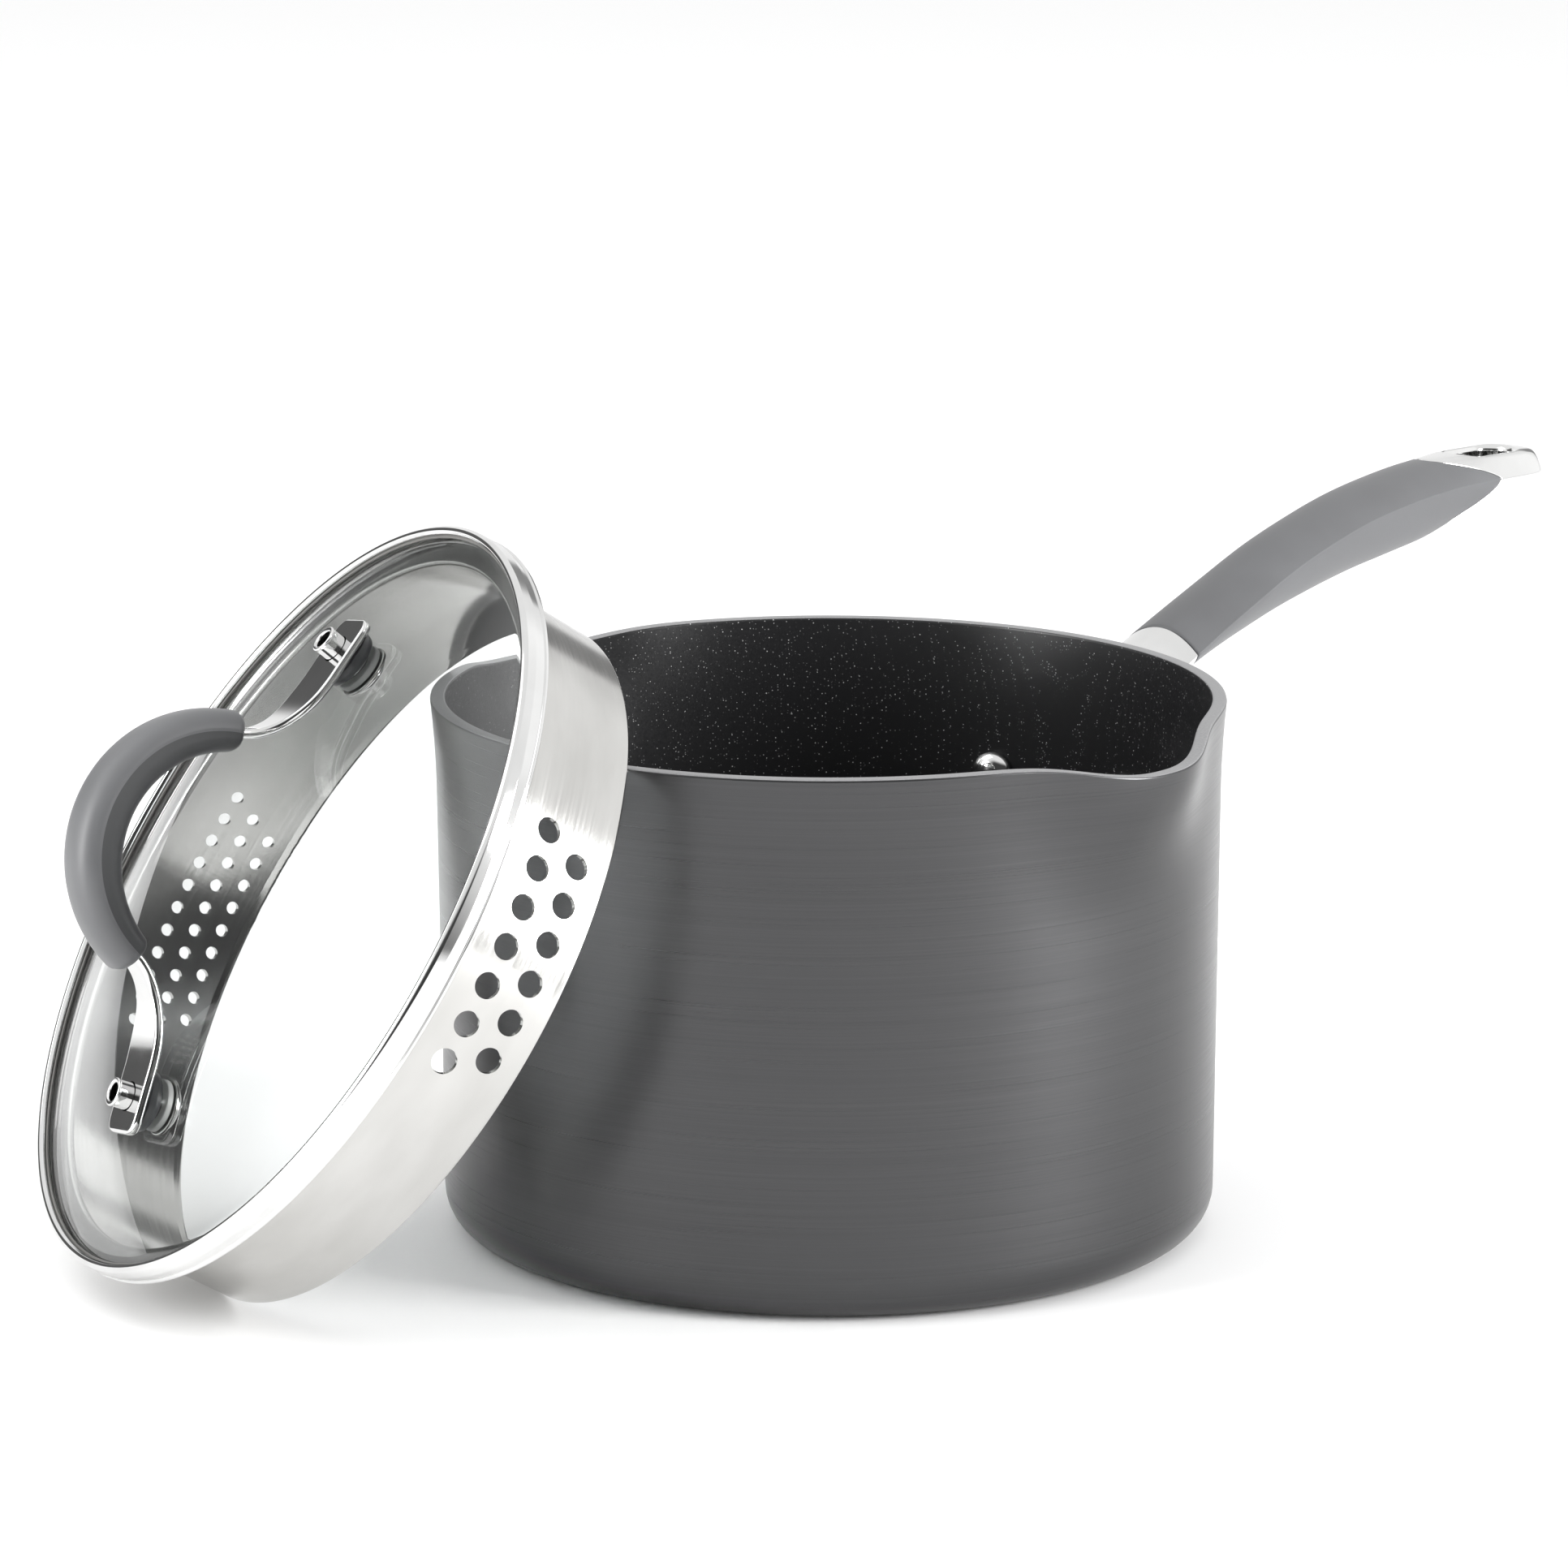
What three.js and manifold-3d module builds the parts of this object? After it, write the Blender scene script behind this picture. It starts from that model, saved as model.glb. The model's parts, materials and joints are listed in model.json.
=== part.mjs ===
// Straining saucepan with a glass lid: hard-anodised pan with two pouring spouts, a riveted
// steel handle with a soft grip, and a glass lid with a perforated steel skirt, standing on its
// edge and leaning on the pan. Units are millimetres and +Z is up. The origin is the centre of
// the pan's flat base, and +X runs along the pan's handle.

import * as THREE from 'three';
import { mergeVertices } from 'three/addons/utils/BufferGeometryUtils.js';
import Module from 'manifold-3d';

const wasm = await Module();
wasm.setup();

// ---------------------------------------------------------------- driving dimensions

const GAP = 0.3;                 // clearance kept between neighbouring pieces
const RING_STEPS = 56;           // facets round the lid's rings

// pan
const PAN_HEIGHT = 130;
const RIM_RADIUS = 95;
const FOOT_RADIUS = 93;          // outer radius just above the bottom corner
const CORNER_RADIUS = 10.3;
const FLARE = 1.05;              // how far the rim flares beyond the straight wall
const FLARE_HEIGHT = 22;
const WALL = 3.6;
const FLOOR = 5;
const PAN_STEPS = 72;

// pouring spouts, one on each side of the handle
const SPOUT_REACH = 8;           // how far the lip stands out
const SPOUT_DROP = 4.5;          // how far the lip dips below the rim
const SPOUT_HALF_ANGLE = 14.5;   // degrees
const SPOUT_HEIGHT = 40;         // height over which the bulge fades into the wall

// handle
const RIVET_SPREAD = 12.5;       // degrees each side of the handle's plane
const RIVET_Z = 92.5;
const RIVET_SHANK = 3.2;
const RIVET_HEAD = 5.6;
const FLANGE_WIDTH = 56;
const FLANGE_LOW = 79;
const FLANGE_HIGH = 113;
const FLANGE_THICK = 3.4;
const GRIP_START = 131;          // where the grip meets the steel neck
const GRIP_END_TOP = 243;        // where the grip ends on top, at the side crease and below
const GRIP_END_SIDE = 264;
const GRIP_END_BELOW = 236;
const HANDLE_TIP = 290;
const SQUARE_FROM = 240;         // where the handle's section starts to square off
const SQUARE_LENGTH = 33;        // and the length over which it does
const SLOT_START = 257;
const SLOT_END = 280;
const SLOT_WIDTH = 10.5;

// lid, in its own frame: Z is its axis, the origin is in the plane that seats on the pan's rim,
// and Y runs along the lid's handle
const SKIRT_TOP_RADIUS = 88.9;
const SKIRT_LOW_RADIUS = 87.7;
const SKIRT_DEPTH = 29.8;
const HEM_BULGE = 0.6;           // how far the hem stands out, and its height above the edge
const HEM_RISE = 0.6;
const SHEET = 0.8;
const BAND_RADIUS = 97;
const BAND_HEIGHT = 6.9;
const BAND_LIP = 2.4;            // how far the band's roll stands in over the glass
const BAND_ROLL = 1.3;           // how deep that roll is
const GASKET_REACH = 94;         // inner radius of the seal
const SEAL_GAP = 0.2;            // clearance between the seal and what it touches
const GLASS_RADIUS = 95;
const GLASS_THICK = 3;
const GLASS_EDGE_Z = 4.5;        // top face of the glass at its edge
const DOME_RISE = 13.4;
const SMALL_HOLE_RADIUS = 1.5;
const LARGE_HOLE_RADIUS = 3.1;
const STUD_REACH = 57;           // from the lid's axis to each handle rivet
const STUD_TILT = 9.6;           // degrees, square to the dome there
const LID_GRIP_CENTRE_Z = 26;    // centre of the grip's arc
const LID_GRIP_RADIUS = 29.5;
const LID_GRIP_SPAN = 76.5;      // degrees each side of the top
const LID_GRIP_CROWN = 5.2;      // how far the grip stands out of its arc, at its top and ends
const LID_GRIP_DEEP = 7.2;       // and how far in, at its top
const LID_GRIP_SHALLOW = 4.5;    // and how far in, at its ends
const STRAP_THICK = 2.2;
const STRAP_REACH = 66.4;        // from the lid's axis to the end of each foot, on plan
const STRAP_FOOT_WIDTH = 14.5;
const STRAP_CORNER = 3.6;        // radius of the foot's corners
const STRAP_GRIP_WIDTH = 9;

// where the lid stands: on its edge, square against the pan
const LID_BEARING = 152.9;       // degrees from the handle, seen from above
const LID_LEAN = 31.9;           // degrees that the lid's axis points above the horizon
const LID_ROLL = -78.9;          // degrees that the lid is turned about its own axis
const LID_DISTANCE = 135.3;      // from the pan's axis to the lid's origin, on plan
const LID_STAND = 0.1;           // height of its lowest point above the table

// ---------------------------------------------------------------- geometry helpers

const radians = THREE.MathUtils.degToRad;
const smooth = (x) => THREE.MathUtils.smoothstep(x, 0, 1);
const point = (x, y) => new THREE.Vector2(x, y);

function solidOf(geometry) {
  const bare = geometry.clone();
  bare.deleteAttribute('normal');
  bare.deleteAttribute('uv');
  const merged = mergeVertices(bare, 1e-4);
  const index = merged.index.array;
  const kept = [];
  for (let i = 0; i < index.length; i += 3) {
    const [a, b, c] = [index[i], index[i + 1], index[i + 2]];
    if (a !== b && b !== c && c !== a) kept.push(a, b, c);
  }
  return new wasm.Manifold(new wasm.Mesh({
    numProp: 3,
    vertProperties: new Float32Array(merged.attributes.position.array),
    triVerts: new Uint32Array(kept),
  }));
}

function geometryOf(solid) {
  const mesh = solid.getMesh();
  const geometry = new THREE.BufferGeometry();
  geometry.setAttribute('position', new THREE.BufferAttribute(mesh.vertProperties, 3));
  geometry.setIndex(new THREE.BufferAttribute(mesh.triVerts, 1));
  geometry.computeVertexNormals();
  return geometry;
}

// A profile of (radius, height) points, counter-clockwise, turned about Z.
function turned(profile, steps = RING_STEPS) {
  const geometry = new THREE.LatheGeometry(profile, steps);
  geometry.rotateX(Math.PI / 2);
  return geometry;
}

function closedRing(profile, steps = RING_STEPS) {
  return solidOf(turned([...profile, profile[0]], steps));
}

// A flat outline in X and Y, raised from z = low to z = high.
function prism(outline, low, high) {
  const shape = new THREE.Shape(outline);
  const geometry = new THREE.ExtrudeGeometry(shape, { depth: high - low, bevelEnabled: false });
  geometry.translate(0, 0, low);
  return solidOf(geometry);
}

// An outline drawn in X and Z, given a thickness each side of y = 0.
function slab(outline, halfWidth) {
  const shape = new THREE.Shape(outline);
  const options = { depth: 2 * halfWidth, bevelEnabled: false };
  const geometry = new THREE.ExtrudeGeometry(shape, options);
  geometry.translate(0, 0, -halfWidth);
  geometry.rotateX(Math.PI / 2);
  return solidOf(geometry);
}

// Closed body through rings of equal point counts, each end capped by a fan.
function loft(rings) {
  const count = rings[0].length;
  const vertices = rings.flat().flatMap((p) => [p.x, p.y, p.z]);
  const faces = [];
  for (let i = 0; i + 1 < rings.length; i++) {
    for (let j = 0; j < count; j++) {
      const a = i * count + j;
      const b = i * count + ((j + 1) % count);
      faces.push(a, b, b + count, a, b + count, a + count);
    }
  }
  const last = (rings.length - 1) * count;
  for (const [ring, start, flip] of [[rings[0], 0, true], [rings.at(-1), last, false]]) {
    const middle = ring.reduce((sum, p) => sum.add(p), new THREE.Vector3()).divideScalar(count);
    const hub = vertices.length / 3;
    vertices.push(middle.x, middle.y, middle.z);
    for (let j = 0; j < count; j++) {
      const a = start + j;
      const b = start + ((j + 1) % count);
      faces.push(...(flip ? [hub, b, a] : [hub, a, b]));
    }
  }
  const geometry = new THREE.BufferGeometry();
  geometry.setAttribute('position', new THREE.Float32BufferAttribute(vertices, 3));
  geometry.setIndex(faces);
  return solidOf(geometry);
}

// A round bar from one point to another.
function bar(from, to, radius, sides = 16) {
  const along = new THREE.Vector3().subVectors(to, from);
  const geometry = new THREE.CylinderGeometry(radius, radius, along.length(), sides);
  const turn = new THREE.Quaternion().setFromUnitVectors(
    new THREE.Vector3(0, 1, 0), along.clone().normalize());
  geometry.applyQuaternion(turn);
  geometry.translate(...new THREE.Vector3().addVectors(from, to).multiplyScalar(0.5));
  return solidOf(geometry);
}

function stadium(length, width, steps = 8) {
  const outline = [];
  for (const [end, start] of [[1, -90], [-1, 90]]) {
    for (let i = 0; i <= steps; i++) {
      const angle = radians(start + (180 * i) / steps);
      const x = end * (length - width) / 2 + (width / 2) * Math.cos(angle);
      outline.push(point(x, (width / 2) * Math.sin(angle)));
    }
  }
  return outline;
}

// ---------------------------------------------------------------- materials and the scene

const COLOURS = {
  anodised: { color: 0x6e6f72, roughness: 0.45, metalness: 0.6 },
  silicone: { color: 0x5d5e62, roughness: 0.65, metalness: 0 },
  dark_silicone: { color: 0x3a3b3d, roughness: 0.7, metalness: 0 },
  polished: { color: 0xd4d4d2, roughness: 0.12, metalness: 1 },
  brushed: { color: 0xc6c5c1, roughness: 0.28, metalness: 1 },
  glass: { color: 0xdfe6e6, roughness: 0.02, metalness: 0, transparent: true, opacity: 0.3 },
};

function mesh(name, look, shape) {
  const geometry = shape instanceof THREE.BufferGeometry ? shape : geometryOf(shape);
  const made = new THREE.Mesh(geometry, new THREE.MeshStandardMaterial(COLOURS[look]));
  made.name = name;
  return made;
}

// ---------------------------------------------------------------- pan

// Outer radius of the wall at a height, before the spouts are pressed out.
function wallRadius(z) {
  const straight = RIM_RADIUS - FLARE - FOOT_RADIUS;
  const lean = FOOT_RADIUS + (straight * (z - CORNER_RADIUS)) / (PAN_HEIGHT - CORNER_RADIUS);
  const flared = Math.max(0, (z - PAN_HEIGHT + FLARE_HEIGHT) / FLARE_HEIGHT);
  return lean + FLARE * flared ** 2;
}

function panProfile() {
  const heights = [PAN_HEIGHT - 0.5, 125, 118, 110, 100, 90, 50, CORNER_RADIUS];
  const outside = heights.map((z) => point(wallRadius(z), z)).reverse();
  const inside = heights.map((z) => point(wallRadius(z) - WALL, z));
  const outerCorner = [];
  const innerCorner = [];
  const innerRadius = CORNER_RADIUS - WALL / 2;
  const turns = 4;
  for (let i = 0; i < turns; i++) {
    const angle = radians((90 * i) / turns);
    const across = FOOT_RADIUS - CORNER_RADIUS + CORNER_RADIUS * Math.sin(angle);
    outerCorner.push(point(across, CORNER_RADIUS * (1 - Math.cos(angle))));
  }
  for (let i = 1; i <= turns; i++) {
    const angle = radians((90 * i) / turns);
    const across = FOOT_RADIUS - WALL - innerRadius * (1 - Math.cos(angle));
    innerCorner.push(point(across, FLOOR + innerRadius * (1 - Math.sin(angle))));
  }
  inside.pop();
  inside.push(point(FOOT_RADIUS - WALL, FLOOR + innerRadius));
  return [
    point(0, 0),
    ...outerCorner,
    ...outside,
    point(RIM_RADIUS - 0.5, PAN_HEIGHT),
    point(RIM_RADIUS - WALL, PAN_HEIGHT),
    ...inside,
    ...innerCorner,
    point(0, FLOOR),
  ];
}

// Strength of the spouts' bulge at an angle: 1 at the middle of each lip and 0 away from it.
function spoutShape(angle) {
  const off = Math.abs(Math.abs(angle) - Math.PI / 2) / radians(SPOUT_HALF_ANGLE);
  return Math.exp(-(off ** 2.5));
}

function pressSpouts(geometry) {
  const place = geometry.attributes.position;
  for (let i = 0; i < place.count; i++) {
    const [x, y, z] = [place.getX(i), place.getY(i), place.getZ(i)];
    const radius = Math.hypot(x, y);
    const rise = smooth(1 - (PAN_HEIGHT - z) / SPOUT_HEIGHT);
    if (radius < 1 || rise <= 0) continue;
    const bulge = spoutShape(Math.atan2(y, x)) * rise;
    const reach = (radius + SPOUT_REACH * bulge) / radius;
    place.setXYZ(i, x * reach, y * reach, z - SPOUT_DROP * bulge * rise);
  }
  return geometry;
}

function rivetAxis(side) {
  const angle = radians(side * RIVET_SPREAD);
  return new THREE.Vector3(Math.cos(angle), Math.sin(angle), 0);
}

const onAxis = (axis, distance, z) => axis.clone().multiplyScalar(distance).setZ(z);

function panBody() {
  let body = solidOf(pressSpouts(turned(panProfile(), PAN_STEPS)));
  for (const side of [-1, 1]) {
    const axis = rivetAxis(side);
    const hole = bar(onAxis(axis, 80, RIVET_Z), onAxis(axis, 105, RIVET_Z), RIVET_SHANK + GAP);
    body = body.subtract(hole);
  }
  return mesh('pan_body', 'anodised', body);
}

// ---------------------------------------------------------------- pan handle

// The handle's cross-section has a crease along each side, a crowned top and a deeper belly. Each
// station gives the crease's height, half the width, the crown's height and the belly's depth.
const HANDLE_STATIONS = [
  { x: 97, crease: 108.6, half: 13.6, crown: 4.2, belly: 7.5 },
  { x: 110, crease: 113.0, half: 13.0, crown: 4.9, belly: 5.8 },
  { x: 125, crease: 118.2, half: 12.3, crown: 5.5, belly: 5.6 },
  { x: 141, crease: 124.2, half: 11.7, crown: 5.9, belly: 7.6 },
  { x: 158, crease: 130.3, half: 11.3, crown: 6.1, belly: 10.0 },
  { x: 174, crease: 135.7, half: 11.0, crown: 6.4, belly: 12.1 },
  { x: 191, crease: 140.1, half: 10.8, crown: 6.5, belly: 13.6 },
  { x: 207, crease: 143.3, half: 10.7, crown: 6.6, belly: 14.5 },
  { x: 224, crease: 145.3, half: 10.8, crown: 6.7, belly: 14.7 },
  { x: 240, crease: 146.4, half: 10.9, crown: 6.7, belly: 14.0 },
  { x: 257, crease: 146.5, half: 11.1, crown: 6.5, belly: 11.0 },
  { x: 273, crease: 146.0, half: 11.3, crown: 6.1, belly: 7.4 },
  { x: HANDLE_TIP, crease: 145.4, half: 11.3, crown: 5.8, belly: 5.2 },
];

function handleAt(x) {
  const next = Math.max(1, HANDLE_STATIONS.findIndex((s) => s.x >= x));
  const [low, high] = [HANDLE_STATIONS[next - 1], HANDLE_STATIONS[next]];
  const t = (x - low.x) / (high.x - low.x);
  const mix = (key) => THREE.MathUtils.lerp(low[key], high[key], t);
  return { crease: mix('crease'), half: mix('half'), crown: mix('crown'), belly: mix('belly') };
}

// One ring of the handle's skin at x; inset shrinks it towards its middle, and the taper narrows
// it at the rounded tip.
function handleRing(x, inset = 0, taper = 1) {
  const { crease, half, crown, belly } = handleAt(x);
  const [w, up, down] = [(half - inset) * taper, crown - inset * 0.45, belly - inset];
  const blunt = taper ** 0.3;
  const square = smooth((x - SQUARE_FROM) / SQUARE_LENGTH);
  const ring = [];
  const steps = 9;
  for (let i = 0; i < steps; i++) {
    const across = Math.cos((Math.PI * i) / steps);
    const rise = 1 - Math.abs(across) ** (2 + 3 * square);
    ring.push(new THREE.Vector3(x, w * across, crease + up * blunt * rise));
  }
  for (let i = 0; i < steps; i++) {
    const across = -Math.cos((Math.PI * i) / steps);
    const depth = Math.sqrt(1 - across ** 2) ** (1.2 - 0.6 * square);
    ring.push(new THREE.Vector3(x, w * across, crease - down * blunt * depth));
  }
  return ring;
}

function handleBody(from, to, spacing, inset = 0) {
  const count = Math.ceil((to - from) / spacing);
  const rings = [];
  for (let i = 0; i <= count; i++) rings.push(handleRing(from + ((to - from) * i) / count, inset));
  return rings;
}

// The outer end, rounded on plan.
function handleEnd(from) {
  const half = handleAt(HANDLE_TIP).half;
  const straightEnd = HANDLE_TIP - half;
  const rings = handleBody(from, straightEnd, 7);
  for (const angle of [20, 38, 54, 68, 80]) {
    const x = straightEnd + half * Math.sin(radians(angle));
    rings.push(handleRing(x, 0, Math.cos(radians(angle))));
  }
  return loft(rings);
}

// The grip's outer end, seen from the side, is an arrow head that points to the handle's tip.
function gripEndOutline(shift) {
  const side = handleAt(GRIP_END_SIDE);
  const outline = [];
  const reach = [
    [GRIP_END_TOP - 16, 30], [GRIP_END_TOP, side.crown + 1], [252, 4.2], [260, 1.6],
    [GRIP_END_SIDE, -0.5],
    [261, -3.4], [253, -7.2], [GRIP_END_BELOW, -14.5], [GRIP_END_BELOW - 16, -30],
  ];
  for (const [x, z] of reach) outline.push(point(x + shift, side.crease + z));
  return outline;
}

function gripSide(shift) {
  return slab([point(60, 60), ...gripEndOutline(shift).reverse(), point(60, 190)], 40);
}

function flange() {
  const ring = closedRing([
    point(wallRadius(FLANGE_LOW - 4) + GAP, FLANGE_LOW - 4),
    point(wallRadius(FLANGE_LOW - 4) + GAP + FLANGE_THICK, FLANGE_LOW - 4),
    point(wallRadius(FLANGE_HIGH + 4) + GAP + FLANGE_THICK, FLANGE_HIGH + 4),
    point(wallRadius(FLANGE_HIGH + 4) + GAP, FLANGE_HIGH + 4),
  ], PAN_STEPS);
  const middle = (FLANGE_LOW + FLANGE_HIGH) / 2;
  const geometry = new THREE.ExtrudeGeometry(
    new THREE.Shape(stadium(FLANGE_WIDTH, FLANGE_HIGH - FLANGE_LOW)),
    { depth: 60, bevelEnabled: false });
  geometry.rotateZ(Math.PI / 2);
  geometry.rotateY(Math.PI / 2);
  geometry.translate(70, 0, middle);
  return ring.intersect(solidOf(geometry));
}

function handleCasting() {
  const wallClear = closedRing([
    point(0.01, 0), point(wallRadius(108) + GAP, 0), point(wallRadius(118) + GAP, 125), point(0.01, 125),
  ], PAN_STEPS);
  const neck = loft(handleBody(90, GRIP_START - 0.4, 10)).subtract(wallClear);
  const core = loft(handleBody(GRIP_START - 6, 270, 14, 3.6));
  const slotLength = SLOT_END - SLOT_START;
  const slotMiddle = SLOT_START + slotLength / 2;
  const slot = prism(stadium(slotLength, SLOT_WIDTH), 100, 190).translate([slotMiddle, 0, 0]);
  const end = handleEnd(226).subtract(gripSide(0.4)).subtract(slot);
  const coreTrimmed = core.intersect(gripSide(6)).subtract(slot);
  let body = flange().add(neck).add(coreTrimmed).add(end);
  for (const side of [-1, 1]) {
    const axis = rivetAxis(side);
    const hole = bar(onAxis(axis, 80, RIVET_Z), onAxis(axis, 115, RIVET_Z), RIVET_SHANK + GAP);
    body = body.subtract(hole);
  }
  return mesh('handle_casting', 'polished', body);
}

function handleGrip() {
  const skin = loft(handleBody(GRIP_START, 272, 9));
  const bore = loft(handleBody(GRIP_START - 6, 276, 14, 3.6 - GAP));
  return mesh('handle_grip', 'silicone', skin.intersect(gripSide(0)).subtract(bore));
}

// A rivet with a domed head inside the pan and a flat upset tail outside the flange.
function handleRivet(name, side) {
  const inner = wallRadius(RIVET_Z) - WALL - GAP;
  const outer = wallRadius(RIVET_Z) + GAP + FLANGE_THICK + GAP;
  const profile = [point(0, inner - 3.4)];
  for (let i = 1; i <= 4; i++) {
    const angle = radians((90 * i) / 4);
    profile.push(point(RIVET_HEAD * Math.sin(angle), inner - 0.6 - 2.8 * Math.cos(angle)));
  }
  profile.push(
    point(RIVET_HEAD, inner), point(RIVET_SHANK, inner), point(RIVET_SHANK, outer),
    point(RIVET_HEAD - 0.6, outer), point(RIVET_HEAD - 1.4, outer + 1.6), point(0, outer + 2));
  const geometry = turned(profile, 14);
  geometry.rotateY(Math.PI / 2);
  geometry.rotateZ(radians(side * RIVET_SPREAD));
  geometry.translate(0, 0, RIVET_Z);
  return mesh(name, 'polished', solidOf(geometry));
}

// ---------------------------------------------------------------- lid rings and glass

const skirtRadius = (depth) => SKIRT_TOP_RADIUS
  + ((SKIRT_LOW_RADIUS - SKIRT_TOP_RADIUS) * depth) / SKIRT_DEPTH;

// One sheet: a flange that carries the glass, a tall skirt and a hemmed lower edge.
function skirtSheet() {
  const flangeEdge = BAND_RADIUS - SHEET - 0.6;
  const low = SKIRT_LOW_RADIUS;
  return closedRing([
    point(flangeEdge, 0),
    point(flangeEdge, SHEET),
    point(SKIRT_TOP_RADIUS - SHEET + 0.5, SHEET),
    point(SKIRT_TOP_RADIUS - SHEET, SHEET - 0.8),
    point(low - SHEET, -SKIRT_DEPTH + 2.6),
    point(low - 1.3, -SKIRT_DEPTH + 1.6),
    point(low - 1.1, -SKIRT_DEPTH + 0.4),
    point(low - 0.2, -SKIRT_DEPTH),
    point(low + HEM_BULGE, -SKIRT_DEPTH + HEM_RISE),
    point(low + HEM_BULGE, -SKIRT_DEPTH + 1.6),
    point(low + 0.1, -SKIRT_DEPTH + 2.4),
    point(SKIRT_TOP_RADIUS, -0.8),
    point(SKIRT_TOP_RADIUS + 0.8, 0),
  ]);
}

// Rows of strainer holes, each row shifted by half a pitch from the one above it.
function strainerHoles(bearing, rows, pitch, radius) {
  const holes = [];
  for (const [depth, count] of rows) {
    for (let i = 0; i < count; i++) {
      const arc = (i - (count - 1) / 2) * pitch;
      const angle = radians(bearing) + arc / skirtRadius(depth);
      const out = new THREE.Vector3(Math.cos(angle), Math.sin(angle), 0);
      holes.push(bar(onAxis(out, 84, -depth), onAxis(out, 93, -depth), radius, 10));
    }
  }
  return holes;
}

function lidSkirt() {
  const holes = [
    ...strainerHoles(0, [[10.4, 11], [16.6, 10], [22.8, 9]], 6.15, SMALL_HOLE_RADIUS),
    ...strainerHoles(180, [[11.9, 7], [21.3, 6]], 9.76, LARGE_HOLE_RADIUS),
  ];
  return mesh('lid_skirt', 'brushed', skirtSheet().subtract(wasm.Manifold.union(holes)));
}

function lidBand() {
  const inner = BAND_RADIUS - SHEET;
  const ceiling = BAND_HEIGHT - BAND_ROLL;
  return mesh('lid_rim_band', 'polished', closedRing([
    point(BAND_RADIUS, 0.4),
    point(BAND_RADIUS, BAND_HEIGHT - 1.6),
    point(BAND_RADIUS - 0.5, BAND_HEIGHT - 0.4),
    point(BAND_RADIUS - 1.2, BAND_HEIGHT),
    point(BAND_RADIUS - BAND_LIP + 0.4, BAND_HEIGHT - 0.1),
    point(BAND_RADIUS - BAND_LIP, BAND_HEIGHT - 0.5),
    point(BAND_RADIUS - BAND_LIP, ceiling),
    point(inner, ceiling),
    point(inner, 0),
    point(BAND_RADIUS - 0.4, 0),
  ]));
}

// A channel of soft seal round the glass's edge.
function lidGasket() {
  const outer = BAND_RADIUS - SHEET - SEAL_GAP;
  const throat = GLASS_RADIUS + SEAL_GAP;
  const low = SHEET + SEAL_GAP;
  const high = BAND_HEIGHT - BAND_ROLL - SEAL_GAP;
  return mesh('lid_gasket', 'dark_silicone', closedRing([
    point(GASKET_REACH, low),
    point(outer, low),
    point(outer, high),
    point(GASKET_REACH, high),
    point(GASKET_REACH, high - 0.5),
    point(throat, high - 0.5),
    point(throat, low + 0.7),
    point(GASKET_REACH, low + 0.7),
  ]));
}

const domeHeight = (radius) => GLASS_EDGE_Z + DOME_RISE * (1 - (radius / GLASS_RADIUS) ** 2);

function studPlace(side) {
  return new THREE.Vector3(0, side * STUD_REACH, domeHeight(STUD_REACH));
}

function studAxis(side) {
  return new THREE.Vector3(0, side * Math.sin(radians(STUD_TILT)), Math.cos(radians(STUD_TILT)));
}

function lidGlass() {
  const radii = [0, 30, 57, 78, 92];
  const top = radii.map((r) => point(r, domeHeight(r))).reverse();
  const bottom = radii.map((r) => point(r, domeHeight(r) - GLASS_THICK));
  const edge = [
    point(GLASS_RADIUS, GLASS_EDGE_Z - GLASS_THICK + 0.5), point(GLASS_RADIUS, GLASS_EDGE_Z - 0.5),
  ];
  let glass = solidOf(turned([...bottom, ...edge, ...top]));
  for (const side of [-1, 1]) {
    const axis = studAxis(side);
    const at = studPlace(side);
    const hole = bar(at.clone().addScaledVector(axis, -12), at.clone().addScaledVector(axis, 8), 3.9);
    glass = glass.subtract(hole);
  }
  return mesh('lid_glass', 'glass', glass);
}

// ---------------------------------------------------------------- lid handle

// The strap's centre line from one foot's end to the top of the loop, in Y and Z.
function strapLine() {
  const line = new THREE.CurvePath();
  const end = radians(LID_GRIP_SPAN);
  const knee = point(LID_GRIP_RADIUS * Math.sin(end), LID_GRIP_CENTRE_Z + LID_GRIP_RADIUS * Math.cos(end));
  const tilt = Math.tan(radians(STUD_TILT));
  const footZ = (y) => domeHeight(STUD_REACH) + 3.5 + STRAP_THICK / 2 - (y - STUD_REACH) * tilt;
  const foot = point(50, footZ(50));
  line.add(new THREE.LineCurve(point(STRAP_REACH, footZ(STRAP_REACH)), foot));
  line.add(new THREE.CubicBezierCurve(
    foot, point(42, footZ(42) + 0.3), point(knee.x + 3.6, knee.y - 9.5), knee));
  const points = line.getPoints(10).filter((p, i, all) => i === 0 || p.distanceTo(all[i - 1]) > 0.5);
  for (let i = 1; i <= 8; i++) {
    const angle = end * (1 - i / 8);
    const high = LID_GRIP_CENTRE_Z + LID_GRIP_RADIUS * Math.cos(angle);
    points.push(point(LID_GRIP_RADIUS * Math.sin(angle), high));
  }
  const mirrored = points.slice(0, -1).reverse().map((p) => point(-p.x, p.y));
  return [...points, ...mirrored];
}

// A strip of even thickness that follows a line.
function stripOutline(line, thick) {
  const left = [];
  const right = [];
  line.forEach((p, i) => {
    const before = line[Math.max(0, i - 1)];
    const after = line[Math.min(line.length - 1, i + 1)];
    const normal = point(-(after.y - before.y), after.x - before.x).normalize().multiplyScalar(thick / 2);
    left.push(p.clone().add(normal));
    right.push(p.clone().sub(normal));
  });
  return [...left, ...right.reverse()];
}

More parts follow.
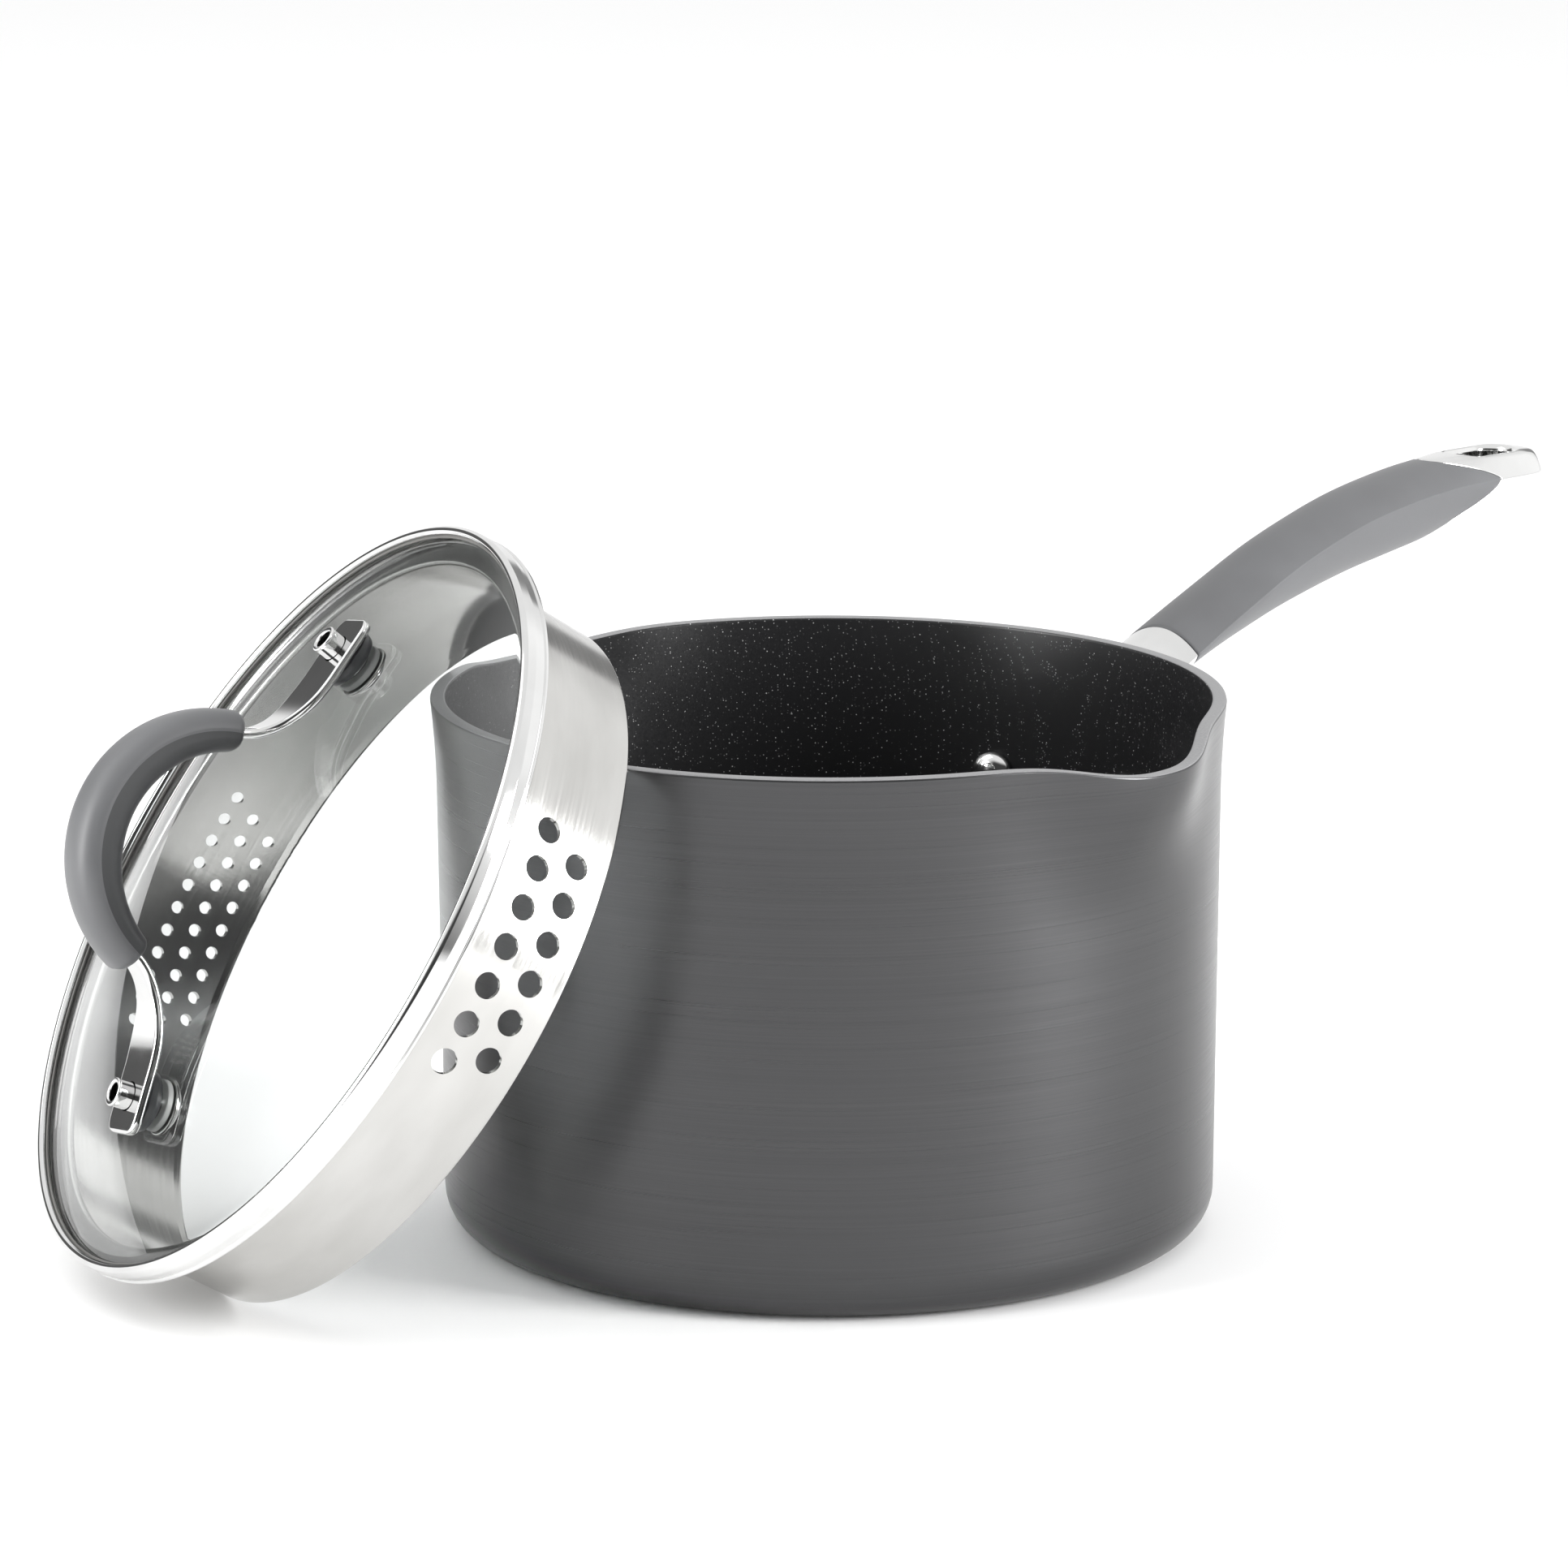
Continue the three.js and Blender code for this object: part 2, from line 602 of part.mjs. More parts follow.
// The strap seen along the lid's axis: broad square-ended feet with round corners, and a
// narrower bar inside the grip.
function strapPlan(footWidth, gripWidth, reach) {
  const quarter = [point(gripWidth / 2, 0), point(gripWidth / 2, 31)];
  for (let i = 1; i <= 4; i++) {
    const along = 31 + (15 * i) / 4;
    quarter.push(point(gripWidth / 2 + ((footWidth - gripWidth) / 2) * smooth(i / 4), along));
  }
  const corner = point(footWidth / 2 - STRAP_CORNER, reach - STRAP_CORNER);
  for (let i = 0; i <= 4; i++) {
    const angle = radians(22.5 * i);
    const arc = point(STRAP_CORNER * Math.cos(angle), STRAP_CORNER * Math.sin(angle));
    quarter.push(arc.add(corner));
  }
  const half = [...quarter, ...[...quarter].reverse().map((p) => point(-p.x, p.y))];
  const other = half.slice(1, -1).reverse().map((p) => point(p.x, -p.y));
  return [...half, ...other];
}

// The strap as a solid; spare thickens it on every side, for cutting the grip.
function strapSolid(spare = 0) {
  const outline = stripOutline(strapLine(), STRAP_THICK + 2 * spare);
  const ribbon = slab(outline.map((p) => point(p.x, p.y)), 20).rotate([0, 0, 90]);
  const plan = strapPlan(STRAP_FOOT_WIDTH + 2 * spare, STRAP_GRIP_WIDTH + 2 * spare, STRAP_REACH + spare);
  return ribbon.intersect(prism(plan, -10, 90));
}

function lidStrap() {
  let strap = strapSolid();
  for (const side of [-1, 1]) {
    const axis = studAxis(side);
    const at = studPlace(side);
    const hole = bar(at.clone().addScaledVector(axis, 1), at.clone().addScaledVector(axis, 12), 3.6);
    strap = strap.subtract(hole);
  }
  return mesh('lid_handle_strap', 'polished', strap);
}

// D-shaped section: flat inside with rounded corners, and a crowned outer face.
function lidGripRing(angle, taper) {
  const ring = [];
  const steps = 16;
  const out = new THREE.Vector3(0, Math.sin(angle), Math.cos(angle));
  const centre = new THREE.Vector3(0, 0, LID_GRIP_CENTRE_Z).addScaledVector(out, LID_GRIP_RADIUS);
  const away = Math.min(1, Math.abs(angle) / radians(LID_GRIP_SPAN));
  const inward = LID_GRIP_DEEP + (LID_GRIP_SHALLOW - LID_GRIP_DEEP) * away ** 2;
  for (let i = 0; i < steps; i++) {
    const turn = (-2 * Math.PI * i) / steps;
    const across = 7.4 * Math.sign(Math.cos(turn)) * Math.abs(Math.cos(turn)) ** 0.8;
    const sine = Math.sin(turn);
    const deep = sine > 0 ? LID_GRIP_CROWN * sine : -inward * Math.abs(sine) ** 0.55;
    ring.push(new THREE.Vector3(across * taper, 0, 0).add(centre).addScaledVector(out, deep * taper));
  }
  return ring;
}

function lidGrip() {
  const rings = [];
  const tapers = [0.7, 0.9, 1];
  const ends = [0, 1.2, 3.5];
  const span = LID_GRIP_SPAN;
  const stations = [...ends.map((e, i) => [-span + e, tapers[i]])];
  for (let angle = -span + 11; angle < span - 4; angle += 11) stations.push([angle, 1]);
  stations.push(...ends.map((e, i) => [span - e, tapers[i]]).reverse());
  for (const [angle, taper] of stations) rings.push(lidGripRing(radians(angle), taper));
  return mesh('lid_grip', 'silicone', loft(rings).subtract(strapSolid(GAP)));
}

// The parts stacked on each of the lid's two rivets. Their own frame has Z square to the glass,
// with z = 0 on the glass's top face.
const STACK = [
  {
    name: 'lid_washer_outer', look: 'dark_silicone',
    ring: [
      point(3.8, 0.3), point(7, 0.3), point(7.4, 0.8), point(7.4, 2.5), point(6.9, 3.1), point(3.8, 3.1),
    ],
  },
  {
    name: 'lid_washer_inner', look: 'dark_silicone',
    ring: [point(3.8, -4.9), point(6.2, -4.9), point(6.2, -3.4), point(3.8, -3.4)],
  },
  {
    name: 'lid_cup_washer', look: 'brushed',
    ring: [point(3.8, -6.1), point(6.8, -6.1), point(6.8, -5.2), point(3.8, -5.2)],
  },
];

// A hollow rivet: a flat head inside the lid, and a tube that stands out above the strap's foot.
function lidRivet() {
  return closedRing([
    point(2.2, -7.5), point(4.6, -7.5), point(5.4, -7), point(5.4, -6.4), point(3.3, -6.4),
    point(3.3, 9.2), point(3.1, 9.8), point(2.2, 9.8),
  ], 16);
}

function lidStack(side) {
  const group = new THREE.Group();
  const label = side > 0 ? 'a' : 'b';
  group.position.copy(studPlace(side));
  group.rotation.x = radians(-side * STUD_TILT);
  for (const { name, look, ring } of STACK) {
    group.add(mesh(`${name}_${label}`, look, closedRing(ring, 20)));
  }
  group.add(mesh(`lid_rivet_${label}`, 'polished', lidRivet()));
  return group;
}

// ---------------------------------------------------------------- assembly

function lid() {
  const parts = new THREE.Group();
  parts.add(lidSkirt(), lidBand(), lidGasket(), lidGlass(), lidStrap(), lidGrip());
  parts.add(lidStack(1), lidStack(-1));
  parts.rotation.z = radians(LID_ROLL);

  const lean = new THREE.Group();
  lean.rotation.y = radians(90 - LID_LEAN);
  lean.add(parts);

  const stand = new THREE.Group();
  const leanAngle = radians(LID_LEAN);
  const bottomRadius = SKIRT_LOW_RADIUS + HEM_BULGE;
  const depth = SKIRT_DEPTH - HEM_RISE;
  const height = depth * Math.sin(leanAngle) + bottomRadius * Math.cos(leanAngle);
  const bearing = radians(LID_BEARING);
  stand.position.set(
    LID_DISTANCE * Math.cos(bearing), LID_DISTANCE * Math.sin(bearing), height + LID_STAND);
  stand.rotation.z = bearing;
  stand.add(lean);
  return stand;
}

const group = new THREE.Group();
group.add(panBody(), handleCasting(), handleGrip());
group.add(handleRivet('handle_rivet_left', 1), handleRivet('handle_rivet_right', -1));
group.add(lid());

export default group;
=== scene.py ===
import json
import math

import bmesh
import bpy
from mathutils import Matrix, Vector


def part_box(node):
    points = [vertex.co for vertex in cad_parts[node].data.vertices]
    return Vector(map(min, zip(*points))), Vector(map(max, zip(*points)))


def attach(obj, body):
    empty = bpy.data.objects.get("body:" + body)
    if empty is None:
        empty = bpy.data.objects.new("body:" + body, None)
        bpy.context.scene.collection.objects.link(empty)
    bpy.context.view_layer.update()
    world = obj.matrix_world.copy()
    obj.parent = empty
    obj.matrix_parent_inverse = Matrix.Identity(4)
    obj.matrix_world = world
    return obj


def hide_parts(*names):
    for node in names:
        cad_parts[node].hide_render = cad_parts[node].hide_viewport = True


# Looks for the straining saucepan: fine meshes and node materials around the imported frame. Shapes
# are worked out in millimetres and scaled to metres when a mesh is made. Everything is in the
# part's own frame: the pan's axis is Z, the pan's handle runs along +X, and the lid stands on its
# edge and leans on the pan.

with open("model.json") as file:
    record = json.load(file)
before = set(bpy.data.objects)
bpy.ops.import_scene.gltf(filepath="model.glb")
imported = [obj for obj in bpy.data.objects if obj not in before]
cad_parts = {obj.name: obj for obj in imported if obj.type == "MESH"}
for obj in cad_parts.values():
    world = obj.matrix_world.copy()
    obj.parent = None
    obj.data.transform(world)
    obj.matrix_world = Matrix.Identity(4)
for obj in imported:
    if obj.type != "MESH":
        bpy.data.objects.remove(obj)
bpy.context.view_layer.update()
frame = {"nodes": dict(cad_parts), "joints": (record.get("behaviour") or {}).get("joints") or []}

MM = 0.001
NOTHING = Matrix.Identity(4)

# pan
PAN_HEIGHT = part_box("pan_body")[1].z / MM
RIM_RADIUS = 95
FOOT_RADIUS = 93
CORNER_RADIUS = 10.3
FLARE = 1.05
FLARE_HEIGHT = 22
WALL = 3.6
FLOOR = 5
PAN_STEPS = 400
SPOUT_REACH = 8
SPOUT_DROP = 4.5
SPOUT_HALF_ANGLE = 14.5
SPOUT_HEIGHT = 40

# pan handle
GAP = 0.3
RIVET_SPREAD = 12.5
RIVET_Z = 92.5
RIVET_SHANK = 3.2
RIVET_HEAD = 5.6
FLANGE_WIDTH = 56
FLANGE_DEPTH = 34
FLANGE_MIDDLE = 96
FLANGE_THICK = 3.4
GRIP_START = 131
GRIP_END_TOP = 243
GRIP_END_SIDE = 264
GRIP_END_BELOW = 236
HANDLE_TIP = 290
SQUARE_FROM = 240
SQUARE_LENGTH = 33
SLOT_START = 257
SLOT_END = 280
SLOT_WIDTH = 10.5
HANDLE_SIDES = 96

# lid, in its own frame: Z is its axis, z = 0 is the plane that seats on a rim, and its handle
# runs along Y
LID_STEPS = 360
SKIRT_TOP_RADIUS = 88.9
SKIRT_LOW_RADIUS = 87.7
SKIRT_DEPTH = 29.8
SHEET = 0.8
BAND_RADIUS = 97
BAND_HEIGHT = 6.9
BAND_LIP = 2.4
BAND_ROLL = 1.3
GASKET_REACH = 94
SEAL_GAP = 0.2
GLASS_RADIUS = 95
GLASS_THICK = 3
GLASS_EDGE_Z = 4.5
DOME_RISE = 13.4
STUD_REACH = 57
STUD_TILT = 9.6
LID_GRIP_CENTRE_Z = 26
LID_GRIP_RADIUS = 29.5
LID_GRIP_SPAN = 76.5
LID_GRIP_CROWN = 5.2
LID_GRIP_DEEP = 7.2
LID_GRIP_SHALLOW = 4.5
STRAP_THICK = 2.2
STRAP_FOOT_WIDTH = 14.5
STRAP_GRIP_WIDTH = 9
STRAP_REACH = 66.4
STRAP_CORNER = 3.6
STRAP_EASE = 0.8


# ------------------------------------------------------------------ numbers and outlines


def lerp(a, b, t):
    return a + (b - a) * t


def smooth(t):
    t = min(1, max(0, t))
    return t * t * (3 - 2 * t)


def polar(radius, degrees, z=0.0):
    angle = math.radians(degrees)
    return Vector((radius * math.cos(angle), radius * math.sin(angle), z))


def rounded(corners, steps=4, closed=True):
    """An outline through (x, y, radius) corners, each eased by about that radius."""
    outline = []
    count = len(corners)
    for i, (x, y, radius) in enumerate(corners):
        corner = Vector((x, y))
        at_end = not closed and i in (0, count - 1)
        if radius == 0 or at_end:
            outline.append(corner)
            continue
        before = Vector(corners[i - 1][:2]) - corner
        after = Vector(corners[(i + 1) % count][:2]) - corner
        half_angle = before.angle(after) / 2
        reach = min(radius / math.tan(half_angle), 0.49 * before.length, 0.49 * after.length)
        start = corner + before.normalized() * reach
        end = corner + after.normalized() * reach
        for k in range(steps + 1):
            t = k / steps
            outline.append(start * (1 - t) ** 2 + corner * 2 * t * (1 - t) + end * t * t)
    return outline


# ------------------------------------------------------------------ meshes


def piece(name, vertices, faces, place=NOTHING):
    """A smooth, closed mesh object from points in millimetres."""
    mesh = bpy.data.meshes.new(name)
    mesh.from_pydata([MM * (place @ Vector(v)) for v in vertices], [], faces)
    made = bpy.data.objects.new(name, mesh)
    bpy.context.scene.collection.objects.link(made)
    clean(made)
    return made


def clean(made):
    bm = bmesh.new()
    bm.from_mesh(made.data)
    bmesh.ops.remove_doubles(bm, verts=bm.verts, dist=2e-6)
    bmesh.ops.dissolve_degenerate(bm, edges=bm.edges, dist=1e-7)
    bmesh.ops.recalc_face_normals(bm, faces=bm.faces)
    for face in bm.faces:
        face.smooth = True
    bm.to_mesh(made.data)
    bm.free()


def grid_faces(rows, columns, closed_rows, closed_columns):
    faces = []
    for i in range(rows if closed_rows else rows - 1):
        for j in range(columns if closed_columns else columns - 1):
            a = i * columns + j
            b = i * columns + (j + 1) % columns
            c = ((i + 1) % rows) * columns + (j + 1) % columns
            d = ((i + 1) % rows) * columns + j
            faces.append((a, b, c, d))
    return faces


def lathe(name, profile, steps=LID_STEPS, place=NOTHING, closed=True):
    """A profile of (radius, height) points turned about Z. An open one ends on the axis."""
    vertices = []
    for i in range(steps):
        angle = 360 * i / steps
        vertices += [polar(p[0], angle, p[1]) for p in profile]
    faces = grid_faces(steps, len(profile), True, closed)
    return piece(name, vertices, faces, place)


def loft(name, rings, place=NOTHING):
    """A closed skin over rings of equal point counts, with a flat cap on each end."""
    count = len(rings[0])
    vertices = [p for ring in rings for p in ring]
    faces = grid_faces(len(rings), count, False, True)
    faces.append(tuple(range(count)))
    faces.append(tuple(range(len(vertices) - count, len(vertices))))
    return piece(name, vertices, faces, place)


def bar(start, end, radius, sides=32):
    """Rings of a round bar between two points."""
    along = (end - start).normalized()
    side = along.orthogonal().normalized()
    other = along.cross(side)
    rings = []
    for middle in (start, end):
        ring = []
        for i in range(sides):
            turn = 2 * math.pi * i / sides
            ring.append(middle + radius * (side * math.cos(turn) + other * math.sin(turn)))
        rings.append(ring)
    return rings


def joined(name, pieces):
    """One object that holds the meshes of several."""
    bm = bmesh.new()
    for made in pieces:
        bm.from_mesh(made.data)
    mesh = bpy.data.meshes.new(name)
    bm.to_mesh(mesh)
    bm.free()
    for made in pieces:
        bpy.data.objects.remove(made)
    whole = bpy.data.objects.new(name, mesh)
    bpy.context.scene.collection.objects.link(whole)
    return whole


def cut(made, cutter):
    """Takes the cutter's solid out of the piece."""
    modifier = made.modifiers.new("cut", "BOOLEAN")
    modifier.operation = "DIFFERENCE"
    modifier.solver = "EXACT"
    modifier.object = cutter
    graph = bpy.context.evaluated_depsgraph_get()
    result = bpy.data.meshes.new_from_object(made.evaluated_get(graph))
    made.modifiers.clear()
    made.data = result
    bpy.data.objects.remove(cutter)
    clean(made)
    return made


def sharpen(made, degrees=35):
    """Marks edges that turn by more than an angle, so that shading breaks there."""
    bm = bmesh.new()
    bm.from_mesh(made.data)
    for edge in bm.edges:
        edge.smooth = len(edge.link_faces) == 2 and edge.calc_face_angle() < math.radians(degrees)
    bm.to_mesh(made.data)
    bm.free()
    return made


def finished(made, material, slot, body, *nodes):
    """Gives a piece its material and its body, and lets it stand for CAD nodes. The slot argument
    is not used.
    """
    if not made.data.materials:
        made.data.materials.append(material)
    even = made.modifiers.new("even_shading", "WEIGHTED_NORMAL")
    even.keep_sharp = True
    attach(made, body)
    if nodes:
        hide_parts(*nodes)
    return made


# ------------------------------------------------------------------ materials


class Finish:
    """A node material around one Principled shader."""

    def __init__(self, name, colour, **sockets):
        self.material = bpy.data.materials.new(name)
        self.material.use_nodes = True
        self.tree = self.material.node_tree
        self.shader = self.tree.nodes["Principled BSDF"]
        self.shader.inputs["Base Color"].default_value = (*colour, 1)
        for key, value in sockets.items():
            self.shader.inputs[key.replace("_", " ")].default_value = value
        self.place = self.tree.nodes.new("ShaderNodeTexCoord").outputs["Object"]

    def node(self, kind, settings=None, **inputs):
        made = self.tree.nodes.new(kind)
        for key, value in (settings or {}).items():
            setattr(made, key, value)
        for key, value in inputs.items():
            self.feed(made.inputs[key.replace("_", " ")], value)
        return made

    def feed(self, socket, value):
        if isinstance(value, bpy.types.NodeSocket):
            self.tree.links.new(value, socket)
        else:
            socket.default_value = value

    def math(self, operation, first, second=0.0):
        made = self.tree.nodes.new("ShaderNodeMath")
        made.operation = operation
        self.feed(made.inputs[0], first)
        self.feed(made.inputs[1], second)
        return made.outputs[0]

    def vector(self, operation, first, second=(0.0, 0.0, 0.0)):
        made = self.tree.nodes.new("ShaderNodeVectorMath")
        made.operation = operation
        self.feed(made.inputs[0], first)
        self.feed(made.inputs[1], second)
        return made.outputs["Value" if operation == "DOT_PRODUCT" else "Vector"]

    def scaled(self, vector, factor):
        made = self.tree.nodes.new("ShaderNodeVectorMath")
        made.operation = "SCALE"
        self.feed(made.inputs[0], vector)
        self.feed(made.inputs["Scale"], factor)
        return made.outputs["Vector"]

    def noise(self, scale, detail=2.0, place=None, rough=0.5):
        made = self.node("ShaderNodeTexNoise", Scale=scale, Detail=detail, Roughness=rough)
        self.feed(made.inputs["Vector"], place or self.place)
        return made.outputs["Fac"]

    def lines(self, axis, fine, coarse, detail=3.0):
        """Noise drawn out into fine lines that run round an axis."""
        height = self.vector("DOT_PRODUCT", self.place, tuple(axis))
        along = self.scaled(tuple(axis), self.math("MULTIPLY", height, fine))
        place = self.vector("ADD", self.scaled(self.place, coarse), along)
        return self.noise(1.0, detail, place)

    def spread(self, value, low, high):
        """A 0-to-1 value as a number between two others."""
        made = self.node("ShaderNodeMapRange", Value=value)
        made.inputs["From Min"].default_value = 0.3
        made.inputs["From Max"].default_value = 0.7
        made.inputs["To Min"].default_value = low
        made.inputs["To Max"].default_value = high
        return made.outputs["Result"]

    def shades(self, value, dark, light):
        """A colour between two, by a 0-to-1 value."""
        made = self.node("ShaderNodeMix", {"data_type": "RGBA"})
        self.feed(made.inputs["Factor"], value)
        sockets = [s for s in made.inputs if s.type == "RGBA"]
        sockets[0].default_value = (*dark, 1)
        sockets[1].default_value = (*light, 1)
        return [s for s in made.outputs if s.type == "RGBA"][0]

    def colour(self, value):
        self.tree.links.new(value, self.shader.inputs["Base Color"])

    def roughness(self, value):
        self.tree.links.new(value, self.shader.inputs["Roughness"])

    def bump(self, height, depth_mm, strength=1.0):
        made = self.node("ShaderNodeBump", Strength=strength, Distance=depth_mm * MM, Height=height)
        self.tree.links.new(made.outputs["Normal"], self.shader.inputs["Normal"])


def anodised():
    """Hard-anodised aluminium, brushed round the pan."""
    made = Finish("hard_anodised", (0.074, 0.074, 0.076), Metallic=0.9, Roughness=0.29)
    lines = made.lines((0, 0, 1), 2600, 9)
    broad = made.lines((0, 0, 1), 420, 3)
    mix = made.math("ADD", made.math("MULTIPLY", lines, 0.75), made.math("MULTIPLY", broad, 0.25))
    made.colour(made.shades(made.spread(mix, 0, 1), (0.068, 0.068, 0.07), (0.08, 0.08, 0.082)))
    made.roughness(made.spread(lines, 0.27, 0.32))
    made.bump(lines, 0.0025)
    return made.material


def bare_rim():
    """The rim, machined back to a matt grey."""
    made = Finish("machined_rim", (0.3, 0.3, 0.305), Metallic=0.5, Roughness=0.5)
    grain = made.noise(2200, 3)
    made.colour(made.shades(made.spread(grain, 0, 1), (0.25, 0.25, 0.255), (0.34, 0.34, 0.345)))
    made.roughness(made.spread(grain, 0.45, 0.58))
    made.bump(grain, 0.01)
    return made.material


def nonstick():
    """Black non-stick coating with a fine sparkle."""
    made = Finish("nonstick_coating", (0.016, 0.016, 0.017), Roughness=0.4)
    made.shader.inputs["Specular IOR Level"].default_value = 0.45
    cells = made.node("ShaderNodeTexVoronoi", Scale=1700.0)
    made.feed(cells.inputs["Vector"], made.place)
    near = made.math("LESS_THAN", cells.outputs["Distance"], 0.24)
    chance = made.vector("DOT_PRODUCT", cells.outputs["Color"], (1, 0, 0))
    size = made.math("POWER", chance, 8.0)
    fleck = made.math("MULTIPLY", near, size)
    made.colour(made.shades(fleck, (0.0135, 0.0135, 0.0145), (0.6, 0.6, 0.6)))
    grain = made.noise(1500, 2)
    made.roughness(made.spread(grain, 0.3, 0.38))
    made.bump(grain, 0.004)
    return made.material


def polished():
    """Mirror-polished stainless steel with faint wiping marks."""
    made = Finish("polished_steel", (0.74, 0.74, 0.735), Metallic=1.0, Roughness=0.08)
    broad = made.noise(60, 4)
    fine = made.noise(1800, 3)
    made.roughness(made.spread(broad, 0.05, 0.1))
    made.colour(made.shades(made.spread(broad, 0, 1), (0.7, 0.7, 0.695), (0.77, 0.77, 0.765)))
    made.bump(fine, 0.0012)
    return made.material


def satin_steel(axis):
    """Stainless sheet, spun: faint lines run round the lid's axis."""
    made = Finish("satin_steel", (0.55, 0.545, 0.53), Metallic=1.0, Roughness=0.14)
    lines = made.lines(axis, 1400, 10)
    broad = made.lines(axis, 60, 30)
    made.roughness(made.spread(lines, 0.12, 0.2))
    made.colour(made.shades(made.spread(broad, 0, 1), (0.51, 0.505, 0.49), (0.59, 0.585, 0.57)))
    made.bump(lines, 0.003)
    return made.material


def silicone(name, dark, light, rough=0.55):
    """Soft matt silicone with a very fine skin texture."""
    made = Finish(name, light, Roughness=rough)
    made.shader.inputs["Specular IOR Level"].default_value = 0.45
    made.shader.inputs["Sheen Weight"].default_value = 0.08
    broad = made.noise(45, 4)
    skin = made.noise(3200, 2)
    made.colour(made.shades(made.spread(broad, 0, 1), dark, light))
    made.roughness(made.spread(broad, rough - 0.06, rough + 0.06))
    made.bump(skin, 0.012)
    return made.material


def clear_glass():
    """Tempered glass with faint waves and wiping marks."""
    made = Finish("clear_glass", (0.965, 0.985, 0.98), Roughness=0.0, IOR=1.5)
    made.shader.inputs["Transmission Weight"].default_value = 1.0
    waves = made.noise(18, 1)
    made.bump(waves, 0.05)
    return made.material


# ------------------------------------------------------------------ pan


def wall_radius(z):
    straight = RIM_RADIUS - FLARE - FOOT_RADIUS
    lean = FOOT_RADIUS + straight * (z - CORNER_RADIUS) / (PAN_HEIGHT - CORNER_RADIUS)
    flared = max(0, (z - PAN_HEIGHT + FLARE_HEIGHT) / FLARE_HEIGHT)
    return lean + FLARE * flared ** 2


def spout_shape(degrees):
    off = abs(abs(degrees) - 90) / SPOUT_HALF_ANGLE
    return math.exp(-(off ** 2.5))


def pressed(point):
    """Moves a point of the plain round pan to where the spouts push it."""
    radius = math.hypot(point.x, point.y)
    rise = smooth(1 - (PAN_HEIGHT - point.z) / SPOUT_HEIGHT)
    if radius < 1 or rise <= 0:
        return point
    bulge = spout_shape(math.degrees(math.atan2(point.y, point.x))) * rise
    reach = (radius + SPOUT_REACH * bulge) / radius
    return Vector((point.x * reach, point.y * reach, point.z - SPOUT_DROP * bulge * rise))


def pan_profile():
    """The outside, the rim and the inside of the wall, from the axis below to the axis above."""
    edge = 0.7
    levels = 26
    heights = [lerp(CORNER_RADIUS, PAN_HEIGHT - edge, i / levels) for i in range(levels + 1)]
    outside = [(0, 0), (40, 0), (70, 0)]
    for i in range(9):
        angle = math.radians(90 * i / 9)
        across = FOOT_RADIUS - CORNER_RADIUS + CORNER_RADIUS * math.sin(angle)
        outside.append((across, CORNER_RADIUS * (1 - math.cos(angle))))
    outside += [(wall_radius(z), z) for z in heights]
    rim = [(RIM_RADIUS - 0.2, PAN_HEIGHT - 0.2), (RIM_RADIUS - edge, PAN_HEIGHT)]
    rim += [
        (RIM_RADIUS - WALL + edge * 0.7, PAN_HEIGHT),
        (RIM_RADIUS - WALL + 0.15, PAN_HEIGHT - 0.15),
    ]
    inside = [(wall_radius(z) - WALL, z) for z in reversed(heights[1:])]
    inner = CORNER_RADIUS - WALL / 2
    for i in range(10):
        angle = math.radians(90 * i / 9)
        across = FOOT_RADIUS - WALL - inner * (1 - math.cos(angle))
        inside.append((across, FLOOR + inner * (1 - math.sin(angle))))
    inside += [(60, FLOOR), (30, FLOOR), (0, FLOOR)]
    return outside, rim, inside


def pan_body():
    outside, rim, inside = pan_profile()
    profile = outside + rim + inside
    vertices = []
    for i in range(PAN_STEPS):
        vertices += [pressed(polar(r, 360 * i / PAN_STEPS, z)) for r, z in profile]
    made = piece("pan_body_fine", vertices, grid_faces(PAN_STEPS, len(profile), True, False))
    for material in (anodised(), bare_rim(), nonstick()):
        made.data.materials.append(material)
    paint_pan(made)
    return finished(made, None, "anodised_pan", "pan", "pan_body")


def paint_pan(made):
    """The rim's top is bare, everything inside it is coated, and the rest is anodised."""
    for polygon in made.data.polygons:
        middle = Vector((0, 0, 0))
        for index in polygon.vertices:
            middle += made.data.vertices[index].co / (MM * len(polygon.vertices))
        on_top = polygon.normal.z > 0.75 and middle.z > PAN_HEIGHT - SPOUT_DROP - 3
        outward = polygon.normal.x * middle.x + polygon.normal.y * middle.y
        inward = outward < 0 or (polygon.normal.z > 0.3 and middle.z < PAN_HEIGHT / 2)
        polygon.material_index = 1 if on_top else 2 if inward else 0


# ------------------------------------------------------------------ pan handle

# Each station gives the side crease's height, half the width, the crown's height above the crease
# and the belly's depth below it.
HANDLE_STATIONS = [
    (97, 108.6, 13.6, 4.2, 7.5),
    (110, 113.0, 13.0, 4.9, 5.8),
    (125, 118.2, 12.3, 5.5, 5.6),
    (141, 124.2, 11.7, 5.9, 7.6),
    (158, 130.3, 11.3, 6.1, 10.0),
    (174, 135.7, 11.0, 6.4, 12.1),
    (191, 140.1, 10.8, 6.5, 13.6),
    (207, 143.3, 10.7, 6.6, 14.5),
    (224, 145.3, 10.8, 6.7, 14.7),
    (240, 146.4, 10.9, 6.7, 14.0),
    (257, 146.5, 11.1, 6.5, 11.0),
    (273, 146.0, 11.3, 6.1, 7.4),
    (HANDLE_TIP, 145.4, 11.3, 5.8, 5.2),
]


